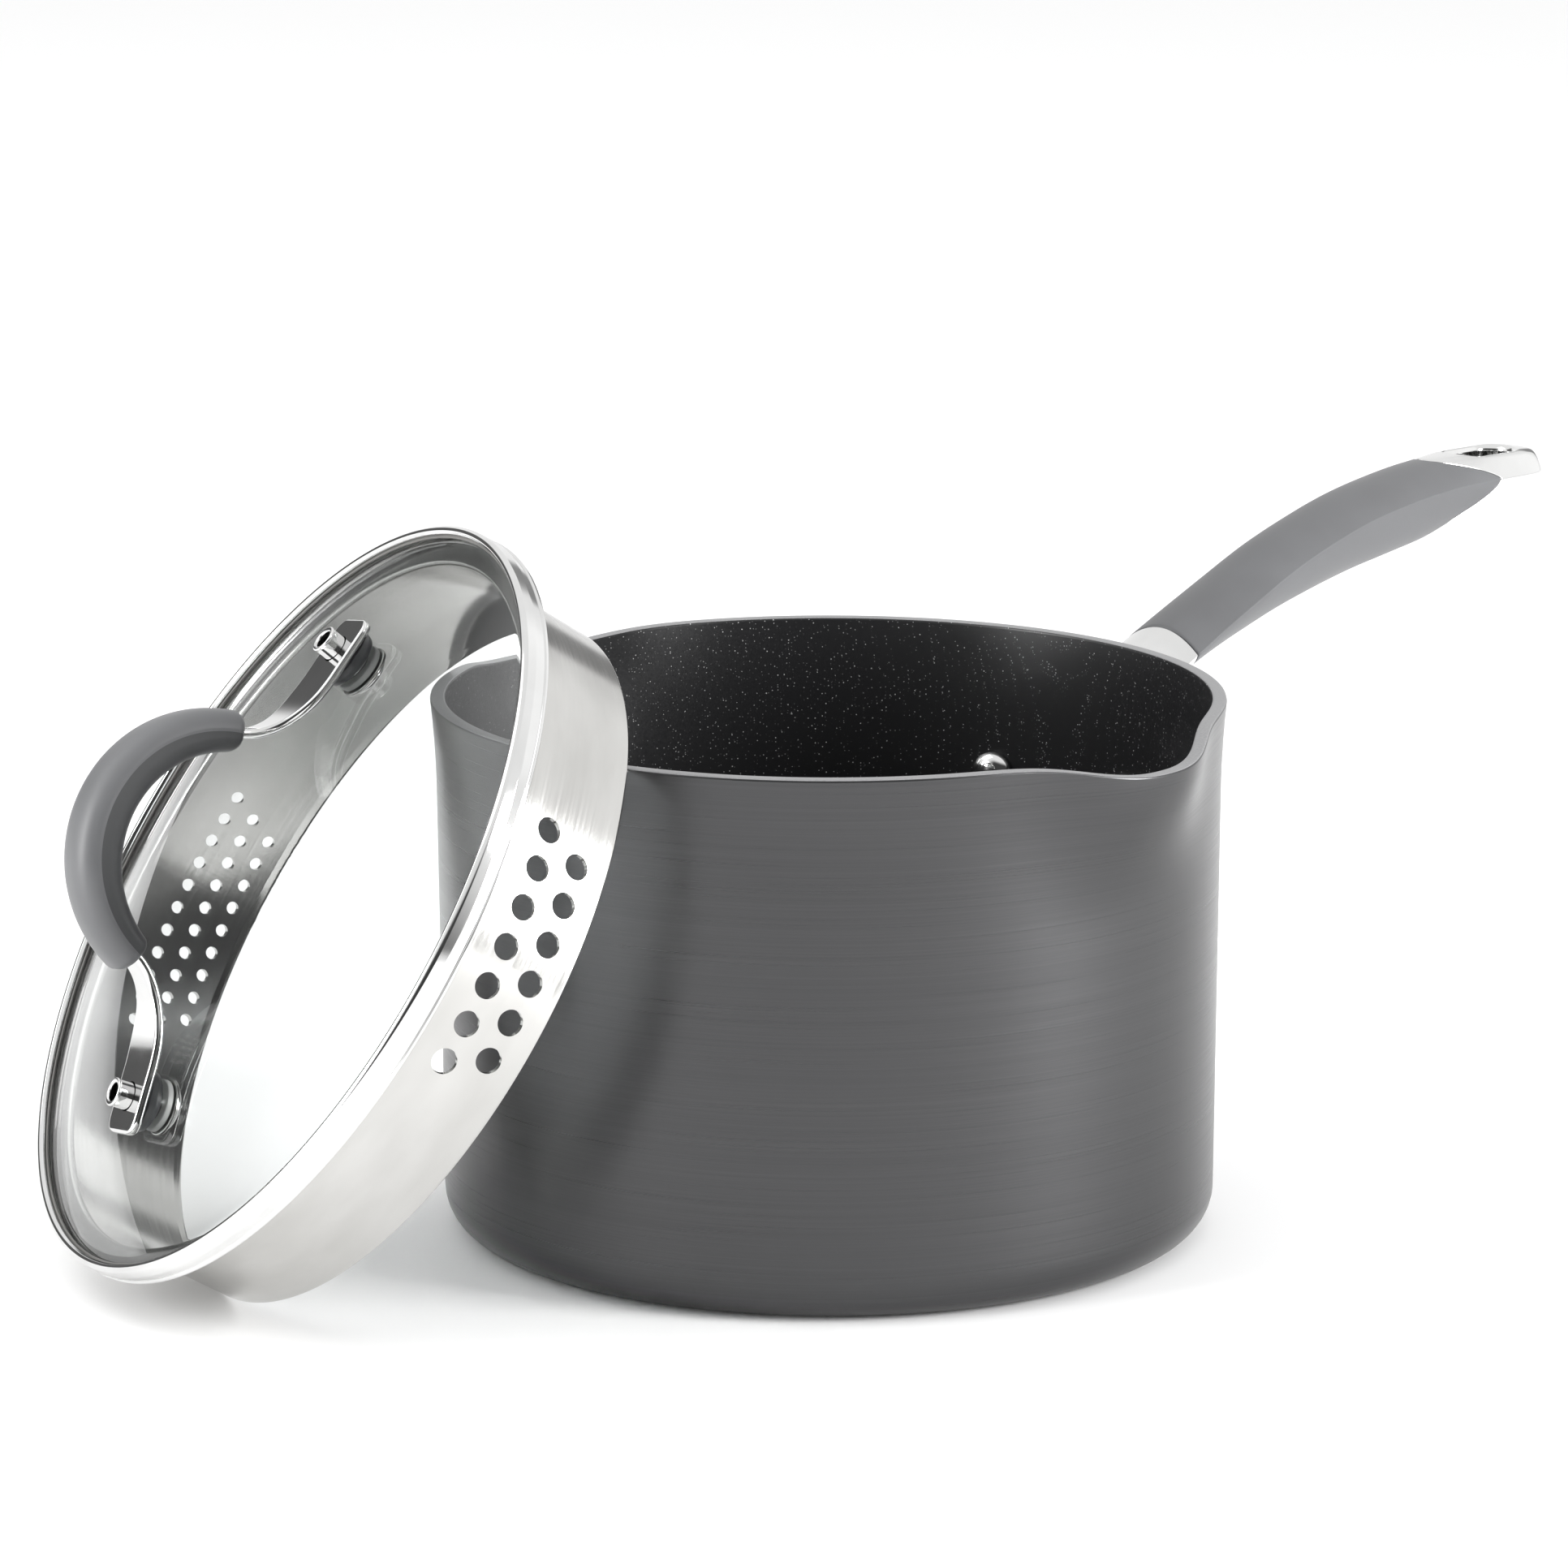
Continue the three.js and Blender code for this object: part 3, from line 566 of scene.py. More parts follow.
def handle_at(x):
    """Crease, half width, crown and belly at x, on a smooth curve through the stations."""
    last = len(HANDLE_STATIONS) - 1
    i = 0
    while i < last - 1 and HANDLE_STATIONS[i + 1][0] < x:
        i += 1
    around = [HANDLE_STATIONS[min(last, max(0, i + k))] for k in (-1, 0, 1, 2)]
    low, high = around[1], around[2]
    width = high[0] - low[0]
    t = (x - low[0]) / width
    values = []
    for k in range(1, 5):
        start = (high[k] - around[0][k]) / (high[0] - around[0][0]) * width
        end = (around[3][k] - low[k]) / (around[3][0] - low[0]) * width
        rest = 3 * (high[k] - low[k]) - 2 * start - end
        bend = start + end - 2 * (high[k] - low[k])
        values.append(low[k] + t * (start + t * (rest + t * bend)))
    return values


def handle_rise(x, across):
    """The crown's shape across the handle, from 0 at a crease to 1: flatter towards the tip."""
    return 1 - abs(across) ** (2 + 3 * smooth((x - SQUARE_FROM) / SQUARE_LENGTH))


def handle_depth(x, across):
    """The belly's shape across the handle: fuller towards the tip."""
    round_off = 1.2 - 0.6 * smooth((x - SQUARE_FROM) / SQUARE_LENGTH)
    return math.sqrt(max(0, 1 - across ** 2)) ** round_off


def handle_section(x, taper=1.0):
    """Points round the handle at x: over the crown from one crease to the other, and back below."""
    crease, half, crown, belly = handle_at(min(x, HANDLE_TIP))
    blunt = taper ** 0.3
    fine = 4 * HANDLE_SIDES
    ring = []
    for i in range(fine):
        turn = 2 * math.pi * i / fine
        across = math.cos(turn)
        if i < fine / 2:
            lift = crown * handle_rise(x, across)
        else:
            lift = -belly * handle_depth(x, across)
        ring.append((half * taper * across, crease + blunt * lift))
    for _ in range(10):
        ring = [
            tuple((ring[i - 1][k] + 2 * ring[i][k] + ring[(i + 1) % fine][k]) / 4 for k in (0, 1))
            for i in range(fine)
        ]
    return [Vector((x, *ring[i])) for i in range(0, fine, 4)]


def handle_sections(first, last, spacing):
    count = round((last - first) / spacing)
    return [handle_section(lerp(first, last, i / count)) for i in range(count + 1)]


SECTION_SPACING = 1.0
SECTIONS = handle_sections(90, HANDLE_TIP, SECTION_SPACING)


def on_handle(j, x, inset=0.0):
    """The point of the handle's skin at x on its j-th line, sunk by inset."""
    place = (x - 90) / SECTION_SPACING
    i = min(len(SECTIONS) - 2, max(0, int(place)))
    point = SECTIONS[i][j].lerp(SECTIONS[i + 1][j], place - i)
    crease, _, crown, belly = handle_at(x)
    middle = Vector((x, 0, crease + (crown - belly) / 2))
    inward = middle - point
    return point + inward.normalized() * inset


def grip_end(j):
    """Where the grip ends on the j-th line: an arrow head seen from the side."""
    x = GRIP_END_SIDE
    for _ in range(8):
        lift = on_handle(j, x).z - handle_at(x)[0]
        if lift > 0:
            x = GRIP_END_SIDE - (GRIP_END_SIDE - GRIP_END_TOP) * (lift / 6.6) ** 1.35
        else:
            x = GRIP_END_SIDE - (GRIP_END_SIDE - GRIP_END_BELOW) * (-lift / 14) ** 1.3
    return x


def handle_grip():
    """The soft sleeve, with an eased edge at each end."""
    ends = [grip_end(j) for j in range(HANDLE_SIDES)]
    edge = [(0.0, 2.0), (0.0, 0.6), (0.12, 0.25), (0.35, 0.07), (0.7, 0.0)]
    rings = []
    for along, inset in edge:
        rings.append([on_handle(j, GRIP_START + along, inset) for j in range(HANDLE_SIDES)])
    count = 120
    for i in range(1, count):
        ring = []
        for j in range(HANDLE_SIDES):
            ring.append(on_handle(j, lerp(GRIP_START + 0.7, ends[j] - 0.7, i / count)))
        rings.append(ring)
    for along, inset in reversed(edge):
        rings.append([on_handle(j, ends[j] - along, inset) for j in range(HANDLE_SIDES)])
    made = loft("handle_grip_fine", rings)
    grey = silicone("grip_silicone", (0.09, 0.091, 0.095), (0.106, 0.108, 0.113), 0.5)
    return finished(sharpen(made, 60), grey, "grip_silicone", "pan", "handle_grip")


def handle_end():
    """The steel loop beyond the grip, rounded on plan, with its hanging slot."""
    straight_end = HANDLE_TIP - handle_at(HANDLE_TIP)[1]
    ends = [grip_end(j) for j in range(HANDLE_SIDES)]
    rings = []
    for along, inset in ((-7, 2.2), (-1.2, 2.2), (-0.4, 0.9), (0.1, 0.2), (0.35, 0.04), (0.7, 0.0)):
        rings.append([on_handle(j, ends[j] + along, inset) for j in range(HANDLE_SIDES)])
    count = 60
    for i in range(1, count + 1):
        ring = []
        for j in range(HANDLE_SIDES):
            ring.append(on_handle(j, lerp(ends[j] + 0.7, straight_end, i / count)))
        rings.append(ring)
    half = HANDLE_TIP - straight_end
    tip_steps = 16
    for i in range(1, tip_steps + 1):
        angle = math.radians(89.5 * i / tip_steps)
        rings.append(handle_section(straight_end + half * math.sin(angle), math.cos(angle)))
    made = loft("handle_end_loop", rings)
    return cut(made, slot_cutter())


def stadium(length, width, steps=16):
    outline = []
    for end, start in ((1, -90), (-1, 90)):
        for i in range(steps + 1):
            angle = math.radians(start + 180 * i / steps)
            x = end * (length - width) / 2 + width / 2 * math.cos(angle)
            outline.append((x, width / 2 * math.sin(angle)))
    return outline


def slot_cutter():
    """A slot that widens softly into the handle's upper and lower faces."""
    middle = (SLOT_START + SLOT_END) / 2
    ease = 1.8
    steps = 6
    levels = []
    for i in range(steps + 1):
        angle = math.radians(90 * i / steps)
        levels.append((ease * (1 - math.cos(angle)), ease * (1 - math.sin(angle))))
    above = [(wider, depth) for wider, depth in levels] + [(ease + 3, -6)]
    rings = []
    for upper, stack in ((True, list(reversed(above))), (False, above)):
        for wider, depth in stack:
            ring = []
            length = SLOT_END - SLOT_START + 2 * wider
            for x, y in stadium(length, SLOT_WIDTH + 2 * wider):
                along = min(middle + x, HANDLE_TIP)
                crease, half, crown, belly = handle_at(along)
                across = min(0.98, abs(y) / half)
                top = crease + crown * handle_rise(along, across) - depth
                bottom = crease - belly * handle_depth(along, across) + depth
                ring.append(Vector((middle + x, y, top if upper else bottom)))
            rings.append(ring)
    return loft("slot_cutter", rings)


def handle_neck():
    """The bare steel neck between the flange and the grip."""
    rings = []
    starts = []
    for j in range(HANDLE_SIDES):
        point = on_handle(j, 97)
        wall = wall_radius(min(point.z, PAN_HEIGHT)) + GAP + 0.8
        starts.append(math.sqrt(wall ** 2 - point.y ** 2))
    count = 40
    seam = GRIP_START - 0.35
    for i in range(count + 1):
        ring = []
        for j in range(HANDLE_SIDES):
            ring.append(on_handle(j, lerp(starts[j], seam - 0.7, i / count)))
        rings.append(ring)
    for along, inset in ((-0.35, 0.05), (-0.12, 0.2), (0.0, 0.5), (0.0, 2.0)):
        rings.append([on_handle(j, seam + along, inset) for j in range(HANDLE_SIDES)])
    rings.append([on_handle(j, seam + 3, 2.4) for j in range(HANDLE_SIDES)])
    return loft("handle_neck", rings)


def handle_flange():
    """The plate that follows the pan's wall, with eased edges."""
    edge = 1.3
    front = [(FLANGE_DEPTH / 2, FLANGE_THICK), (8, FLANGE_THICK), (edge, FLANGE_THICK)]
    for angle in (20, 40, 60, 80):
        turn = math.radians(angle)
        front.append((edge * (1 - math.sin(turn)), FLANGE_THICK - edge * (1 - math.cos(turn))))
    layers = front + [(0, FLANGE_THICK - edge), (0, 0.3), (0.3, 0), (8, 0), (FLANGE_DEPTH / 2, 0)]
    rings = []
    for inset, height in layers:
        ring = []
        width = FLANGE_WIDTH - 2 * inset
        depth = max(0.001, FLANGE_DEPTH - 2 * inset)
        straight = width - depth
        outline = flange_outline(straight, depth)
        for across, up in outline:
            z = FLANGE_MIDDLE + up
            radius = wall_radius(z) + GAP + height
            ring.append(polar(radius, math.degrees(across / (RIM_RADIUS + height)), z))
        rings.append(ring)
    vertices = [p for ring in rings for p in ring]
    faces = grid_faces(len(rings), len(rings[0]), False, True)
    return piece("handle_flange", vertices, faces)


def flange_outline(straight, depth):
    """A stadium whose straight sides are divided too, so that it can bend round the wall."""
    outline = []
    for end in (1, -1):
        for i in range(16):
            outline.append((end * straight * (i / 16 - 0.5), -end * depth / 2))
        for i in range(16):
            angle = math.radians(-90 + 180 * i / 16)
            x = end * (straight / 2 + depth / 2 * math.cos(angle))
            outline.append((x, end * depth / 2 * math.sin(angle)))
    return outline


def handle_casting(steel):
    made = joined("handle_casting_fine", [handle_flange(), handle_neck(), handle_end()])
    return finished(sharpen(made, 50), steel, "polished_steel", "pan", "handle_casting")


def handle_rivet(name, side, steel):
    """A rivet with a domed head inside the pan and an upset tail outside the flange."""
    inner = wall_radius(RIVET_Z) - WALL - GAP
    outer = wall_radius(RIVET_Z) + GAP + FLANGE_THICK + GAP
    profile = [(0, inner - 3.4)]
    for i in range(1, 13):
        angle = math.radians(90 * i / 12)
        profile.append((RIVET_HEAD * math.sin(angle), inner - 0.6 - 2.8 * math.cos(angle)))
    profile += [(RIVET_HEAD, inner), (RIVET_SHANK, inner), (RIVET_SHANK, outer)]
    tail = [(RIVET_HEAD - 0.6, outer, 0), (RIVET_HEAD - 0.9, outer + 1.4, 0.8), (0, outer + 2, 0)]
    profile += [tuple(p) for p in rounded(tail, closed=False)]
    lay = Matrix.Rotation(math.radians(side * RIVET_SPREAD), 4, "Z")
    lay = Matrix.Translation((0, 0, RIVET_Z)) @ lay @ Matrix.Rotation(math.radians(90), 4, "Y")
    made = lathe(name + "_fine", profile, 48, lay, closed=False)
    return finished(sharpen(made, 50), steel, "polished_steel", "pan", name)


# ------------------------------------------------------------------ lid


def node_points(node):
    return [v.co for v in frame["nodes"][node].data.vertices]


def box_middle(node):
    low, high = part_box(node)
    return (low + high) / 2


def lid_placing():
    """The lid's own frame, from the joint's axis and the places of its CAD nodes."""
    axis = Vector(frame["joints"][0]["axis"]).normalized()
    middle = box_middle("lid_rim_band")
    seat = min(p.dot(axis) for p in node_points("lid_rim_band"))
    origin = middle + axis * (seat - middle.dot(axis))
    along = box_middle("lid_rivet_a") - box_middle("lid_rivet_b")
    y = (along - axis * along.dot(axis)).normalized()
    x = y.cross(axis)
    place = Matrix((x, y, axis)).transposed().to_4x4()
    place.translation = origin / MM
    return place, axis


LID, LID_AXIS = lid_placing()
LID_METRES = Matrix.Diagonal((MM, MM, MM, 1)) @ LID @ Matrix.Diagonal((1 / MM, 1 / MM, 1 / MM, 1))


def dome_height(radius):
    return GLASS_EDGE_Z + DOME_RISE * (1 - (radius / GLASS_RADIUS) ** 2)


def skirt_radius(depth):
    return lerp(SKIRT_TOP_RADIUS, SKIRT_LOW_RADIUS, depth / SKIRT_DEPTH)


def lid_skirt(steel):
    """A flange that carries the glass, a tall skirt and a hemmed lower edge, with its holes."""
    top = SKIRT_TOP_RADIUS
    low = SKIRT_LOW_RADIUS
    edge = BAND_RADIUS - SHEET - 0.6
    corners = [
        (edge, 0, 0.2), (edge, SHEET, 0.2),
        (top - SHEET, SHEET, 1.4), (low - SHEET, -SKIRT_DEPTH + 2.4, 0.5),
        (low - 1.1, -SKIRT_DEPTH + 0.2, 0.8), (low + 0.6, -SKIRT_DEPTH, 0.9),
        (low + 0.6, -SKIRT_DEPTH + 2.2, 0.5), (top, 0, 0.9),
    ]
    made = lathe("lid_skirt_fine", rounded(corners, 6), 480)
    cut(made, strainer_cutter())
    made.data.transform(LID_METRES)
    return finished(sharpen(made), steel, "brushed_steel", "lid", "lid_skirt")


def strainer_cutter():
    """Round bars through the skirt: small holes on one side and large ones opposite."""
    small = [(10.4, 11), (16.6, 10), (22.8, 9)]
    large = [(11.9, 7), (21.3, 6)]
    bars = []
    for bearing, rows, pitch, radius in ((0, small, 6.15, 1.5), (180, large, 9.76, 3.1)):
        for depth, count in rows:
            for i in range(count):
                arc = (i - (count - 1) / 2) * pitch
                angle = bearing + math.degrees(arc / skirt_radius(depth))
                rings = bar(polar(84, angle, -depth), polar(93, angle, -depth), radius)
                bars.append(loft("hole", rings))
    return joined("strainer_cutter", bars)


def lid_band(steel):
    """The rolled rim that clamps the glass: a bead at its foot and a lip over the glass."""
    inner = BAND_RADIUS - SHEET
    ceiling = BAND_HEIGHT - BAND_ROLL
    lip = BAND_RADIUS - BAND_LIP
    corners = [
        (BAND_RADIUS, 0, 0.35), (BAND_RADIUS, 0.8, 0.2), (BAND_RADIUS - 0.35, 1.05, 0.2),
        (BAND_RADIUS - 0.3, 1.4, 0.3), (BAND_RADIUS - 0.05, 3.4, 3),
        (BAND_RADIUS - 0.25, BAND_HEIGHT - 0.7, 1.2), (BAND_RADIUS - 1.2, BAND_HEIGHT, 0.6),
        (lip + 0.5, BAND_HEIGHT - 0.1, 0.5), (lip, BAND_HEIGHT - 0.8, 0.4),
        (lip, ceiling, 0.15), (inner, ceiling, 0.4), (inner, 0, 0.1),
    ]
    made = lathe("lid_rim_band_fine", rounded(corners, 5), 480, LID)
    return finished(sharpen(made, 50), steel, "polished_steel", "lid", "lid_rim_band")


def lid_gasket(rubber):
    """A channel of soft seal round the glass's edge."""
    outer = BAND_RADIUS - SHEET - SEAL_GAP
    low = SHEET + SEAL_GAP
    high = BAND_HEIGHT - BAND_ROLL - SEAL_GAP
    reach = GASKET_REACH
    throat = GLASS_RADIUS + SEAL_GAP
    corners = [
        (reach, low, 0.2), (outer, low, 0.3), (outer, high, 0.3), (reach, high, 0.2),
        (reach, high - 0.5, 0.1), (throat, high - 0.5, 0), (throat, low + 0.7, 0),
        (reach, low + 0.7, 0.1),
    ]
    made = lathe("lid_gasket_fine", rounded(corners, 3), 360, LID)
    return finished(sharpen(made), rubber, "seal_silicone", "lid", "lid_gasket")


def stud_place(side):
    return Vector((0, side * STUD_REACH, dome_height(STUD_REACH)))


def stud_axis(side):
    tilt = math.radians(STUD_TILT)
    return Vector((0, side * math.sin(tilt), math.cos(tilt)))


def stud_frame(side):
    """The frame of one rivet and its washers: z = 0 is the glass's top face."""
    turn = Matrix.Rotation(math.radians(-side * STUD_TILT), 4, "X")
    return LID @ Matrix.Translation(stud_place(side)) @ turn


def lid_glass(glass):
    rings = 40
    top = []
    bottom = []
    for i in range(rings + 1):
        radius = (GLASS_RADIUS - 0.8) * i / rings
        top.append((radius, dome_height(radius)))
        bottom.append((radius, dome_height(radius) - GLASS_THICK))
    edge = [
        (GLASS_RADIUS - 0.25, GLASS_EDGE_Z - GLASS_THICK + 0.35),
        (GLASS_RADIUS, GLASS_EDGE_Z - GLASS_THICK + 0.9),
        (GLASS_RADIUS, GLASS_EDGE_Z - 0.9),
        (GLASS_RADIUS - 0.25, GLASS_EDGE_Z - 0.3),
    ]
    made = lathe("lid_glass_fine", bottom + edge + list(reversed(top)), 240, closed=False)
    bores = []
    for side in (-1, 1):
        start = stud_place(side) - 12 * stud_axis(side)
        end = stud_place(side) + 8 * stud_axis(side)
        bores.append(loft("bore", bar(start, end, 3.9)))
    cut(made, joined("glass_cutter", bores))
    made.data.transform(LID_METRES)
    return finished(sharpen(made), glass, "clear_glass", "lid", "lid_glass")


# ------------------------------------------------------------------ lid handle


def strap_line():
    """The strap's centre line in Y and Z from one foot's end to the top of the loop."""
    end = math.radians(LID_GRIP_SPAN)
    radius = LID_GRIP_RADIUS
    knee = Vector((radius * math.sin(end), LID_GRIP_CENTRE_Z + radius * math.cos(end)))
    tilt = math.tan(math.radians(STUD_TILT))

    def foot_z(y):
        return dome_height(STUD_REACH) + 3.5 + STRAP_THICK / 2 - (y - STUD_REACH) * tilt

    foot = Vector((50, foot_z(50)))
    first = Vector((42, foot_z(42) + 0.3))
    second = Vector((knee.x + 3.6, knee.y - 9.5))
    line = [Vector((y, foot_z(y))) for y in foot_stations()]
    steps = 24
    for i in range(1, steps + 1):
        t = i / steps
        u = 1 - t
        line.append(foot * u ** 3 + first * 3 * u * u * t + second * 3 * u * t * t + knee * t ** 3)
    for i in range(1, 37):
        angle = end * (1 - i / 36)
        height = LID_GRIP_CENTRE_Z + radius * math.cos(angle)
        line.append(Vector((radius * math.sin(angle), height)))
    return line + [Vector((-p.x, p.y)) for p in reversed(line[:-1])]


def foot_stations():
    """Places along the foot, close together round its end."""
    straight_end = STRAP_REACH - STRAP_CORNER
    stations = []
    for i in range(19):
        angle = math.radians(90 - 90 * i / 18)
        stations.append(straight_end + STRAP_CORNER * math.sin(angle))
    return stations + [lerp(straight_end, 50, i / 8) for i in range(1, 9)]


def strap_half_width(y):
    """Half the strap's width: feet with round corners, and a narrower bar towards the grip."""
    half = STRAP_FOOT_WIDTH / 2
    beyond = y - STRAP_REACH + STRAP_CORNER
    if beyond > 0:
        return half - STRAP_CORNER + math.sqrt(max(0, STRAP_CORNER ** 2 - beyond ** 2))
    return lerp(STRAP_GRIP_WIDTH / 2, half, smooth((y - 31) / 15))


def strap_section(half, thick):
    """A flat bar's section with well-rounded edges."""
    edge = min(0.85, half * 0.9)
    corners = [
        (-half, -thick / 2, edge), (half, -thick / 2, edge),
        (half, thick / 2, edge), (-half, thick / 2, edge),
    ]
    return rounded(corners, 5)


def lid_strap(steel):
    line = strap_line()
    rings = []
    for i, p in enumerate(line):
        ahead = line[min(len(line) - 1, i + 1)]
        behind = line[max(0, i - 1)]
        along = (ahead - behind).normalized()
        normal = Vector((0, -along.y, along.x))
        from_end = min(STRAP_EASE, STRAP_REACH - abs(p.x))
        ease = STRAP_EASE - math.sqrt(max(0, STRAP_EASE ** 2 - (STRAP_EASE - from_end) ** 2))
        half = strap_half_width(abs(p.x)) - ease
        thick = STRAP_THICK - 1.8 * ease
        middle = Vector((0, p.x, p.y))
        section = strap_section(half, thick)
        rings.append([middle + Vector((q.x, 0, 0)) + normal * q.y for q in section])
    made = loft("lid_handle_strap_fine", rings)
    bores = []
    for side in (-1, 1):
        start = stud_place(side) + stud_axis(side)
        end = stud_place(side) + 12 * stud_axis(side)
        bores.append(loft("bore", bar(start, end, 3.6, 48)))
    cut(made, joined("strap_cutter", bores))
    made.data.transform(LID_METRES)
    return finished(sharpen(made, 50), steel, "polished_steel", "lid", "lid_handle_strap")


def lid_grip_ring(degrees, inset):
    """D-shaped section: a flat inner face, a crowned outer one and a parting line between."""
    sides = 72
    turn_by = math.radians(degrees)
    out = Vector((0, math.sin(turn_by), math.cos(turn_by)))
    centre = Vector((0, 0, LID_GRIP_CENTRE_Z)) + LID_GRIP_RADIUS * out
    ring = []
    inward = lerp(LID_GRIP_DEEP, LID_GRIP_SHALLOW, (degrees / LID_GRIP_SPAN) ** 2)
    for i in range(sides):
        turn = 2 * math.pi * i / sides
        cosine, sine = math.cos(turn), math.sin(turn)
        across = (7.4 - inset) * math.copysign(abs(cosine) ** 0.8, cosine)
        if i % (sides // 2) == 0:
            across -= math.copysign(0.22, cosine)
        deep = (LID_GRIP_CROWN - inset) * sine
        if sine < 0:
            deep = -(inward - inset) * abs(sine) ** 0.55
        ring.append(Vector((across, 0, 0)) + centre + out * deep)
    return ring


def lid_grip():
    """The soft grip on the lid's strap, with eased ends, and painted shade on its inner face."""
    ease = 2.0
    stations = []
    for i in range(7):
        angle = math.radians(90 * i / 6)
        back = ease * (1 - math.cos(angle)) / LID_GRIP_RADIUS
        stations.append((math.degrees(back) - LID_GRIP_SPAN, ease * (1 - math.sin(angle))))
    middle = []
    reach = LID_GRIP_SPAN - math.degrees(ease / LID_GRIP_RADIUS)
    for i in range(1, 60):
        middle.append((lerp(-reach, reach, i / 60), 0.0))
    mirrored = [(-degrees, inset) for degrees, inset in reversed(stations)]
    rings = [lid_grip_ring(degrees, inset) for degrees, inset in stations + middle + mirrored]
    made = loft("lid_grip_fine", rings, LID)
    # The crown and the inner face are the same silicone. The inner face, turned in towards the
    # glass, gets a much darker copy of it as painted shade.
    crown = silicone("lid_grip_crown", (0.11, 0.112, 0.116), (0.13, 0.132, 0.137), 0.48)
    inner = silicone("lid_grip_inner_painted_shade", (0.04, 0.041, 0.043), (0.05, 0.051, 0.053), 0.5)
    made.data.materials.append(crown)
    made.data.materials.append(inner)
    back = LID.inverted()
    for polygon in made.data.polygons:
        middle = back @ (polygon.center / MM)
        from_arc = math.hypot(middle.y, middle.z - LID_GRIP_CENTRE_Z)
        polygon.material_index = 0 if from_arc > LID_GRIP_RADIUS else 1
    return finished(sharpen(made, 60), None, "grip_silicone", "lid", "lid_grip")


def lid_stack(side, steel, satin, rubber, clear_rubber):
    """The rivet and washers that hold one foot of the strap."""
    label = "a" if side > 0 else "b"
    place = stud_frame(side)
    outer = [(3.8, 0.3, 0), (7.1, 0.3, 0.5), (7.4, 1.6, 0.9), (7.0, 3.1, 0.5), (3.8, 3.1, 0)]
    inner = [(3.8, -4.9, 0), (6.2, -4.9, 0.4), (6.2, -3.4, 0.4), (3.8, -3.4, 0)]
    cup = [(3.8, -6.1, 0), (6.8, -6.1, 0.4), (6.8, -5.2, 0.3), (3.8, -5.2, 0)]
    rivet = [
        (2.2, -7.5, 0.3), (4.6, -7.5, 0.5), (5.4, -6.9, 0.5), (5.4, -6.4, 0.2), (3.3, -6.4, 0),
        (3.3, 9.1, 0.3), (3.5, 9.5, 0.3), (3.1, 9.9, 0.4), (2.2, 9.6, 0.5),
    ]
    rows = [
        ("lid_washer_outer_", outer, rubber, "seal_silicone"),
        ("lid_washer_inner_", inner, clear_rubber, "seal_silicone"),
        ("lid_cup_washer_", cup, satin, "brushed_steel"),
        ("lid_rivet_", rivet, steel, "polished_steel"),
    ]
    for name, corners, material, slot in rows:
        made = lathe(name + label + "_fine", rounded(corners, 4), 64, place)
        finished(sharpen(made, 50), material, slot, "lid", name + label)


# ------------------------------------------------------------------ floor, light and camera

CAMERA_TARGET = Vector((-0.0070, 0.00835, 0.1078))
CAMERA_BEARING = -140.0
CAMERA_ELEVATION = 12.69
CAMERA_DISTANCE = 1.8458
CAMERA_LENS = 176.7


SKY_STRENGTH = 1.0
FLOOR_REACH = 9.0  # metres from the part's axis to each side of the floor


def floor():
    """A plain pale floor."""
    mesh = bpy.data.meshes.new("floor")
    turns = (-1, -1), (1, -1), (1, 1), (-1, 1)
    corners = [(x * FLOOR_REACH, y * FLOOR_REACH, 0) for x, y in turns]
    mesh.from_pydata(corners, [], [(0, 1, 2, 3)])
    made = bpy.data.objects.new("floor", mesh)
    bpy.context.scene.collection.objects.link(made)
    paper = Finish("floor_paper", (0.96, 0.96, 0.96), Roughness=0.8)
    mesh.materials.append(paper.material)


def softbox(name, bearing, elevation, distance, size, watts):
    """A square area light aimed at the pan."""
    data = bpy.data.lights.new(name, "AREA")
    data.shape = "RECTANGLE"
    data.size, data.size_y = size
    data.energy = watts
    made = bpy.data.objects.new(name, data)
    bpy.context.scene.collection.objects.link(made)
    up = math.radians(elevation)
    away = polar(distance * math.cos(up), bearing, distance * math.sin(up))
    target = Vector((0, 0, 0.08))
    made.location = target + away
    made.rotation_euler = (-away).to_track_quat("-Z", "Y").to_euler()


# Stretches of the surround, as (bearing to the right of the camera's, half angle where it is
# full, half angle where it ends, sine of the height where it starts to end and is gone, strength).
# A strength under 1 is darker than the rest of the surround, and one over 1 is brighter.
SKY_SHADES = [
    (0, 28, 62, 0.45, 0.85, 0.06),
    (-136, 14, 30, 0.35, 0.6, 0.12),
    (162, 3, 9, 0.3, 0.5, 0.3),
    (120, 12, 34, 0.5, 0.8, 1.2),
]


